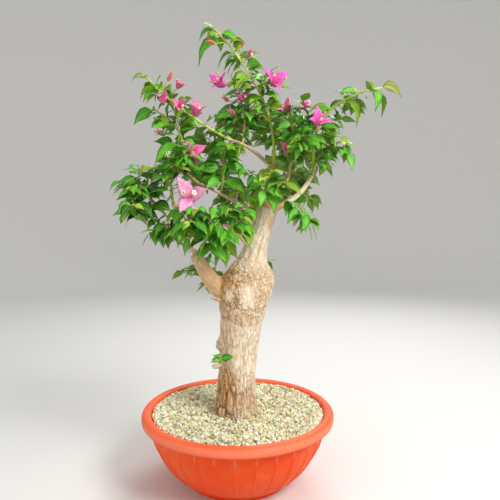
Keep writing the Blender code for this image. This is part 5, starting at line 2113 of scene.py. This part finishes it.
class Blossom:
    """One bloom on its stalk: bracts about an axis, with the flowers inside them."""

    BUD_SIZE = 19

    def __init__(self, foliage: Foliage, bloom: Bloom, base: Vector, axis: Vector, turn: float) -> None:
        """Keep what the bloom is and how it stands.

        Args:
            foliage: What it grows in.
            bloom: Its sizes and colours.
            base: Where the bracts meet.
            axis: Direction that the bloom faces.
            turn: Turn of the first bract about the axis.
        """
        self.foliage = foliage
        self.bloom = bloom
        self.base = base
        self.axis = axis
        self.turn = turn
        self.size = bloom.size * MM
        self.bud = bloom.size < self.BUD_SIZE
        self.habit = HABITS.get(bloom.petal, Habit())

    def cup(self, axis: Vector, turn: int) -> tuple:
        """Plain cup about the stalk's own axis, for the room that it takes.

        Args:
            axis: Direction of the stalk's end.
            turn: Turn of its first corner.

        Returns:
            Points and faces.
        """
        base, size, grow = self.base, self.size, self.foliage.MARGIN
        spread, inside = (0.28, 0.3 * size) if self.bud else (0.8, 1.4 * MM)
        points = [base - axis * (1.2 * MM + grow), base + axis * (inside + grow)]
        for step in range(6):
            radial = outward(axis, turn + step * math.pi / 3)
            way = axis * (1.0 - 0.45 * spread) + radial * (0.6 * spread if step % 2 else spread)
            points.append(base + way.normalized() * ((0.36 * size if step % 2 else size) + grow))
        faces = [(end, 2 + k, 2 + (k + 1) % 6) for end in (0, 1) for k in range(6)]
        return np.array(points), faces

    def build(self, extra: random.Random) -> None:
        """Add three bracts and the flowers inside them.

        Args:
            extra: Source of their spread.
        """
        petal, turn = self.bloom.petal, self.turn
        opening = math.radians(BUD.opening if self.bud else self.habit.opening + 9 * extra.uniform(-1, 1))
        if petal is not Petal.CREAM:
            for k in range(3):
                tilt = opening * (1 + 0.16 * extra.uniform(-1, 1))
                self.bract(outward(self.axis, turn + k * math.tau / 3), tilt, k + turn)
        for k in range(self.bloom.tubes):
            azimuth = math.pi * (k + 0.5) if petal is Petal.PALE else turn + (k + 0.5) * math.tau / 3
            self.flower(outward(self.axis, azimuth), k < 2 or self.bud)

    def bract(self, radial: Vector, tilt: float, wave: float) -> None:
        """Add one bract: a pointed, wavy, cupped blade that leans out and curls back at its tip.

        Args:
            radial: Direction square to the axis that it leans to.
            tilt: How far it leans out.
            wave: Phase of its wavy margin.
        """
        size, petal, axis = self.size, self.bloom.petal, self.axis
        template = self.foliage.bract_shape
        shape = template.points
        habit = BUD if self.bud else self.habit
        low, high = (0.85 * tilt, 1.2 * tilt) if petal is Petal.PALE else (0.4 * tilt, 1.45 * tilt)
        middle = self.base + (axis * math.cos(low) + radial * math.sin(low)) * (0.5 * size)
        tip = middle + (axis * math.cos(high) + radial * math.sin(high)) * (0.52 * size)
        along = shape[:, 1][:, None]
        centre, ahead = arch(self.base, middle, tip, along)
        side = np.array(axis.cross(radial).normalized())[None, :]
        out = np.abs(shape[:, 0]) * 2
        half = size * habit.width / 2
        cup = habit.fold * half * out ** 1.3
        cup += 0.12 * half * np.sin(along[:, 0] * 9 + 2.3 * wave) * out * np.sign(shape[:, 0])
        cup += 0.06 * half * np.sin(along[:, 0] * 17 + wave) * out - shape[:, 2] * 0.14 * MM
        across = shape[:, 0] * size * habit.width
        points = centre + side * across[:, None] + np.cross(ahead, side) * cup[:, None]
        self.foliage.bracts.add(template, points, [petal.value, petal.value])

    def flower(self, radial: Vector, mouth: bool) -> None:
        """Add one flower: a slender tube, with an open mouth where it has opened.

        Args:
            radial: Direction square to the axis that it leans to.
            mouth: Whether it is open.
        """
        foliage = self.foliage
        pale = self.bloom.petal in (Petal.PALE, Petal.CREAM)
        lean = (self.axis + radial * 0.36).normalized()
        reach = self.habit.reach * self.size
        tube = Path(self.base + radial * (1.6 * MM), lean * reach, radial * (-0.12 * reach), unit=1.0)
        points = stem_points(foliage.stalk_tube, tube, lambda t: (0.8 + 0.5 * t) * MM)
        foliage.bracts.add(foliage.stalk_tube, points, [Petal.TUBE.value])
        if mouth:
            turned = np.array(UP.rotation_difference(tube.tangent(1.0)).to_matrix())
            radius = (4.8 if pale else 2.5) * MM
            points = foliage.star.points @ turned.T * radius + np.array(tube.curve(1.0))
            lobes = Petal.CREAM if pale else Petal.MOUTH
            foliage.bracts.add(foliage.star, points, [lobes.value, Petal.EYE.value])


class Grower:
    """Grows one spray by the seeded rule of the solids, and goes on to finer twigs."""

    CHIEF_SLACK = 1.12
    CHIEF_FLAT = 0.3
    CHIEF_RISE = 0.35
    CHIEF_SKY = 0.36
    CHIEF_FRONT = 0.2
    CHIEF_WIDTH = 0.5
    SHOULDER = 0.42
    SKY = 0.5
    OVERLAP = 0.64
    PLAIN_OVERLAP = 0.85
    LIFT = 0.86
    TIP = 0.985
    TIP_LEAVES = 7
    STEM_RING = 32 * MM
    AIRY_FINER = 13
    TWIG_TURN = math.radians(67)
    LEAF_TURN = math.radians(50)
    TWIGLET_TURN = 2.1
    TWIGLET_PLACES = (0.4, 0.6, 0.8, 0.92, 0.985, 0.985)

    def __init__(self, foliage: Foliage, spray: Spray) -> None:
        """Lay out the stem.

        Args:
            foliage: What it grows in.
            spray: Sizes of the spray.
        """
        self.foliage = foliage
        self.spray = spray
        self.airy = spray.tones is AIRY
        self.random = random.Random(spray.seed)
        self.extra = random.Random(spray.seed + 1000)
        start = foliage.paths[spray.carrier].point(min(spray.at, self.TIP))
        path = Path(start, spray.reach, spray.bow, spray.sway)
        path.rings = max(3, round(path.length() / self.STEM_RING))
        radii = (spray.radii[0] * MM, spray.radii[1] * MM)
        self.stem = Stem(spray.name + "_stem", path, radii, foliage.FIRST_NODE)
        self.stems = [self.stem]
        low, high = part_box(spray.name)
        slack = Vector((1, 1, 1)) * 5 * MM
        self.low, self.high = low - slack, high + slack
        self.count = 0
        self.group = foliage.group_of(spray)

    def reserve(self) -> None:
        """Take the room of the stem and make it."""
        foliage, stem = self.foliage, self.stem
        foliage.room.add(tube_shape(stem.path, stem.radii, 4, foliage.MARGIN), stem.tag)
        foliage.tube(foliage.stem_tube, stem.path, stem.radii, self.spray.skin, 0.2)
        if self.spray.skin is Skin.LIME:
            foliage.keep_in_sight(stem.path, stem.radii[0])

    def grow_twigs(self) -> None:
        """Side twigs, spread along the stem and turned by the golden angle."""
        spray, foliage, stem = self.spray, self.foliage, self.stem
        phase = self.random.uniform(0, math.tau)
        for i in range(spray.twigs):
            at = 0.22 + 0.66 * (i + 0.5) / spray.twigs
            length = spray.twig_length * MM * self.random.uniform(0.8, 1.15) * (1.1 - 0.4 * at)
            tilt = self.random.uniform(0.35, 0.75)
            rise = self.random.uniform(0.1, 0.35)
            radius = stem.radius(at)
            tangent = stem.path.tangent(at)
            for turn in range(foliage.TRIES):
                way = outward(tangent, phase + i * GOLDEN_TURN + turn * self.TWIG_TURN)
                way = (way + tangent * tilt + UP * rise).normalized()
                start = stem.path.point(at) - way * (0.4 * radius)
                twig = Path(start, way * length, UP * (0.1 * length), unit=1.0, rings=1)
                sizes = (0.8 * radius, 0.6 * radius)
                if foliage.room.is_free(tube_shape(twig, sizes, 3, foliage.MARGIN), (stem.tag,)):
                    tag = f"{spray.name}_twig_{i}"
                    foliage.room.add(tube_shape(twig, sizes, 3), tag)
                    foliage.tube(foliage.twig_tube, twig, sizes, spray.skin, 0.15)
                    self.stems.append(Stem(tag, twig, sizes, 0.6 * foliage.FIRST_NODE))
                    break

    def grow_blooms(self) -> None:
        """Blossom on short stalks."""
        foliage, path, thin = self.foliage, self.stem.path, self.stem.radii[1]
        for number, bloom in enumerate(self.spray.blooms):
            mouth = Vector(bloom.offset) * MM
            mouth *= max(0.35, 1 - 0.35 * (bloom.size * MM) / mouth.length)
            stalk = Path(path.point(bloom.at), mouth, UP * (0.08 * mouth.length), unit=1.0, rings=1)
            ahead = stalk.tangent(1.0)
            axis = (Vector(bloom.face) if bloom.face else ahead + UP * 0.8).normalized()
            blossom = Blossom(foliage, bloom, stalk.curve(1.0), axis, number + bloom.turn)
            cup = blossom.cup(ahead, number)
            if foliage.room.is_free(cup, ("view",)):
                foliage.room.add(cup, f"{self.spray.name}_bloom_{number}")
                foliage.tube(foliage.twig_tube, stalk, (0.55 * thin, 0.5 * thin), Skin.LIME)
                blossom.build(self.extra)
            else:
                LOG.info("no room for a bloom of %s at %.2f", self.spray.name, bloom.at)

    def grow_chief_leaves(self) -> None:
        """The leaves that stand out of the outline, each one arched from its node to its tip."""
        foliage, stem, airy = self.foliage, self.stem, self.airy
        for at, offset in self.spray.leaves:
            reach = Vector(offset) * MM
            flat = Vector((reach.x, reach.y, 0)).normalized()
            size = (1.2 if airy else self.CHIEF_SLACK) * reach.length
            rise = 0.75 if airy else self.CHIEF_RISE
            out = (reach.normalized() + flat * self.CHIEF_FLAT + UP * rise).normalized()
            hang = (reach - out * (self.SHOULDER * size)).normalized()
            root = stem.path.point(at) - out * (0.3 * stem.radius(at))
            front = Vector((root.x, CROWN_MIDDLE.y - self.CHIEF_FRONT, 0))
            side = blade_side(out, front, self.CHIEF_SKY, self.extra.uniform(-0.45, 0.45))
            leaf = Leaf(root, out, hang, side, size, width=0.38 if airy else self.CHIEF_WIDTH,
                        fold=0.6 if airy else 0.25)
            probe = Leaf(root, out, hang, side, size * self.OVERLAP)
            if foliage.room.is_free(probe.shape(foliage.MARGIN), (stem.tag, "view")):
                foliage.room.add(probe.shape(), stem.tag + "_leaf")
                leaf.tone = self.tone(0.4 + 0.5 * at)
                if airy and leaf.tone is Tone.YOUNG:
                    leaf.tone = Tone.BRONZE if at > 0.95 else Tone.FRESH
                foliage.leaf(leaf, self.group, self.extra.uniform(-1, 1))
                self.count += 1
            else:
                LOG.info("no room for a chief leaf of %s at %.2f", self.spray.name, at)

    def leaf_size(self, at: float) -> float:
        """Length of a plain leaf at a share of a stem, in mm."""
        return self.spray.leaf[0] + (self.spray.leaf[1] - self.spray.leaf[0]) * at

    def grow_leaves(self) -> None:
        """Alternate leaves along the stem and the twigs, and one at each tip."""
        for stem in self.stems:
            length = stem.path.length()
            count = max(2, round((length - stem.first) / (self.spray.spacing * MM)))
            phase = self.random.uniform(0, math.tau)
            for i in range(count + 1):
                at = min((stem.first + (length - stem.first) * i / count) / length, self.TIP)
                draws = four(self.random)
                azimuth = phase + i * GOLDEN_TURN + 0.3 * draws[1]
                size = self.leaf_size(at) * (1 + 0.14 * draws[0])
                self.place_leaf(Site(stem, at, azimuth, stem.radius(at), draws, i == count), size * MM)

    def tone(self, at: float, young: float = 0.0) -> Tone:
        """Choose a leaf's colour.

        Args:
            at: Share of its stem where it grows.
            young: Chance of the youngest colour.

        Returns:
            The colour.
        """
        draw = self.extra.random()
        if draw < young:
            return Tone.YOUNG
        if at > 0.8 and draw < young + 0.3:
            return Tone.YOUNG if self.airy else Tone.OLIVE
        return self.extra.choice(self.spray.tones)

    def place_leaf(self, site: Site, size: float, young: float = None) -> bool:
        """Try a leaf at one node of a stem, turned on until it finds room.

        Args:
            site: Where it may grow.
            size: Length of the leaf.
            young: Chance of a young leaf's colour, given for the finer leaves only. They stay in
                the spray's own box and may overlap a little at their ends.

        Returns:
            True if the leaf found room.
        """
        foliage, radius = self.foliage, site.radius
        fine = young is not None
        tangent = site.stem.path.tangent(site.at)
        point = site.stem.path.point(site.at)
        level = tangent.cross(UP)
        droop = min(self.LIFT * self.spray.droop * (1 + 0.45 * site.draws[2]), 0.9)
        for turn in range(foliage.TRIES):
            radial = outward(tangent, site.azimuth + turn * self.LEAF_TURN)
            flat = Vector((radial.x, radial.y, 0.3 * radial.z))
            across = level * math.copysign(0.5, radial.dot(level))
            out = (flat + across + tangent * (1.8 if site.last else 0.4) + UP * 0.1).normalized()
            hang = (out * (1 - droop) - UP * droop).normalized()
            hang = (hang + out * max(0.0, 0.2 - out.dot(hang))).normalized()
            side = blade_side(out, point, self.SKY, 0.7 * site.draws[3])
            leaf = Leaf(point - out * (0.3 * radius), out, hang, side, size)
            if fine and not all(a <= b <= c for a, b, c in zip(self.low, leaf.tip(), self.high)):
                continue
            margin = foliage.MARGIN
            probe = Leaf(leaf.root, out, hang, side, size * (self.OVERLAP if fine else self.PLAIN_OVERLAP))
            if foliage.room.is_free(probe.shape(margin), (site.stem.tag,)):
                if foliage.room.is_free(probe.shape(margin, 2.5 * radius + margin)):
                    foliage.room.add(probe.shape(), site.stem.tag + "_leaf")
                    leaf.tone = self.tone(site.at, young or 0.0)
                    foliage.leaf(leaf, self.group, site.draws[1])
                    self.count += 1
                    return True
        return False

    def grow_twiglets(self) -> None:
        """Finer leaves between the nodes, and short side shoots with a few smaller leaves each."""
        finer = self.AIRY_FINER if self.airy else self.spray.finer
        for stem in self.stems:
            count = max(2, round(stem.path.length() / (finer * MM)))
            phase = self.extra.uniform(0, math.tau)
            for i in range(count):
                at = 0.12 + 0.84 * (i + 0.5) / count
                draws = four(self.extra)
                site = Site(stem, at, phase + i * GOLDEN_TURN, stem.radius(at), draws)
                size = (0.94 + 0.14 * draws[0]) * self.leaf_size(at) * MM
                if not self.place_leaf(site, size, 0.06) or not i % 2:
                    self.twiglet(f"{stem.tag}_twiglet_{i}", site, size)

    def twiglet(self, tag: str, site: Site, size: float) -> None:
        """Try a short shoot with small leaves.

        Args:
            tag: Tag of the shoot.
            site: Where it may grow.
            size: Length of a full leaf there.
        """
        foliage, radius = self.foliage, site.radius
        tangent = site.stem.path.tangent(site.at)
        for turn in range(3):
            way = outward(tangent, site.azimuth + self.TWIGLET_TURN * turn)
            way = (way + tangent * 0.5 + UP * 0.3).normalized()
            length = self.extra.uniform(10, 22) * MM
            start = site.stem.path.point(site.at) - way * (0.4 * radius)
            shoot = Path(start, way * length, UP * 0.001, unit=1.0, rings=1)
            sizes = (0.55 * radius, 0.4 * radius)
            if not foliage.room.is_free(tube_shape(shoot, sizes, 3, foliage.MARGIN), (site.stem.tag,)):
                continue
            foliage.room.add(tube_shape(shoot, sizes, 3), tag)
            foliage.tube(foliage.stalk_tube, shoot, sizes, Skin.GREEN)
            stem = Stem(tag, shoot, sizes)
            for k, at in enumerate(self.TWIGLET_PLACES):
                azimuth = site.azimuth + 1 + k * GOLDEN_TURN
                spot = Site(stem, at, azimuth, sizes[1], four(self.extra), k > 3)
                length = size * (0.82 - 0.06 * k)
                if not self.place_leaf(spot, length, 0.12):
                    self.place_leaf(spot, length * 0.6, 0.3)
            return

    def grow_tips(self) -> None:
        """Clusters of the youngest leaves at the tips of stems and twigs."""
        for stem in self.stems:
            for k in range(self.TIP_LEAVES):
                draws = four(self.extra)
                size = (26 - 2.6 * k + 3 * draws[0]) * MM
                site = Site(stem, self.TIP - 0.03 * (k % 3), k * GOLDEN_TURN, stem.radii[1], draws, k > 3)
                self.place_leaf(site, size, 0.5)


@dataclass
class Studio:
    """Pale floor, soft lights and the camera that sees the plant as the photograph does."""

    floor: tuple = srgb(222, 220, 216)
    camera_place: tuple = (0.0194, -0.756, 0.396)
    camera_drop: float = math.atan(20 / 475)
    lens: float = 36 * 475 / 500
    sweep_start: float = 2.2
    wall: float = 3.2

    def build(self) -> None:
        """Make floor, lights, world and camera."""
        section = [(0.0, 0, 0.0), (1.2, 0, 0.0)]
        for i in range(1, 13):
            angle = math.radians(90 * i / 12)
            section.append((self.sweep_start + math.sin(angle), 0, 1.0 - math.cos(angle)))
        section.append((self.sweep_start + 1.0, 0, self.wall))
        floor = object_from(lathe(section, 96, 0.1 * MM), "floor")
        shader = Shader("floor_matte", 0.7, 0.3)
        shader.colour(self.floor)
        floor.data.materials.append(shader.material)
        self.light("key_light", (1.05, -0.95, 1.5), 0.8, 33)
        self.light("fill_light", (-1.3, -1.1, 0.8), 1.4, 6)
        self.light("rim_light", (0.4, 1.3, 1.4), 0.9, 14)
        world = bpy.data.worlds.new("studio")
        bpy.context.scene.world = world
        world.use_nodes = True
        sky = world.node_tree.nodes["Background"]
        sky.inputs["Color"].default_value = srgb(232, 236, 240)
        sky.inputs["Strength"].default_value = 0.72
        camera = bpy.data.cameras.new("camera")
        camera.lens = self.lens
        camera.sensor_width = 36
        camera.clip_start = 0.01
        eye = linked("camera", camera)
        eye.location = self.camera_place
        eye.rotation_euler = (math.pi / 2 - self.camera_drop, 0, 0)
        bpy.context.scene.camera = eye
        bpy.context.scene.view_settings.view_transform = "Standard"

    def light(self, name: str, place: tuple, size: float, power: float) -> None:
        """Add a square soft light that points at the crown.

        Args:
            name: Name of the light.
            place: Where it hangs.
            size: Length of its side.
            power: Power in watts.
        """
        data = bpy.data.lights.new(name, "AREA")
        data.size = size
        data.energy = power
        lamp = linked(name, data)
        lamp.location = place
        lamp.rotation_euler = (Vector((0, 0, 0.35)) - Vector(place)).to_track_quat("-Z", "Y").to_euler()


def limb_paths(trunk: Trunk) -> dict:
    """Centre lines of trunk and limbs by name.

    Args:
        trunk: The trunk that carries the first of them.

    Returns:
        The paths.
    """
    paths = {"trunk": trunk}
    rings = {"leader": 9, "sawn_limb": 7, "right_bough": 8, "low_left_bough": 8}
    for limb in LIMBS:
        start = paths[limb.carrier].point(limb.at)
        paths[limb.name] = Path(start, limb.reach, limb.bow, rings=rings.get(limb.name, 6))
    return paths


def main() -> None:
    """Build every piece in order."""
    logging.basicConfig(level=logging.INFO, format="%(name)s: %(message)s")
    trunk = Trunk()
    paths = limb_paths(trunk)
    Bowl().build()
    LOG.info("bowl made")
    Gravel().build()
    Wood(trunk, paths).build()
    foliage = Foliage(paths)
    foliage.grow()
    foliage.pieces()
    Studio().build()


if __name__ == "__main__":
    main()
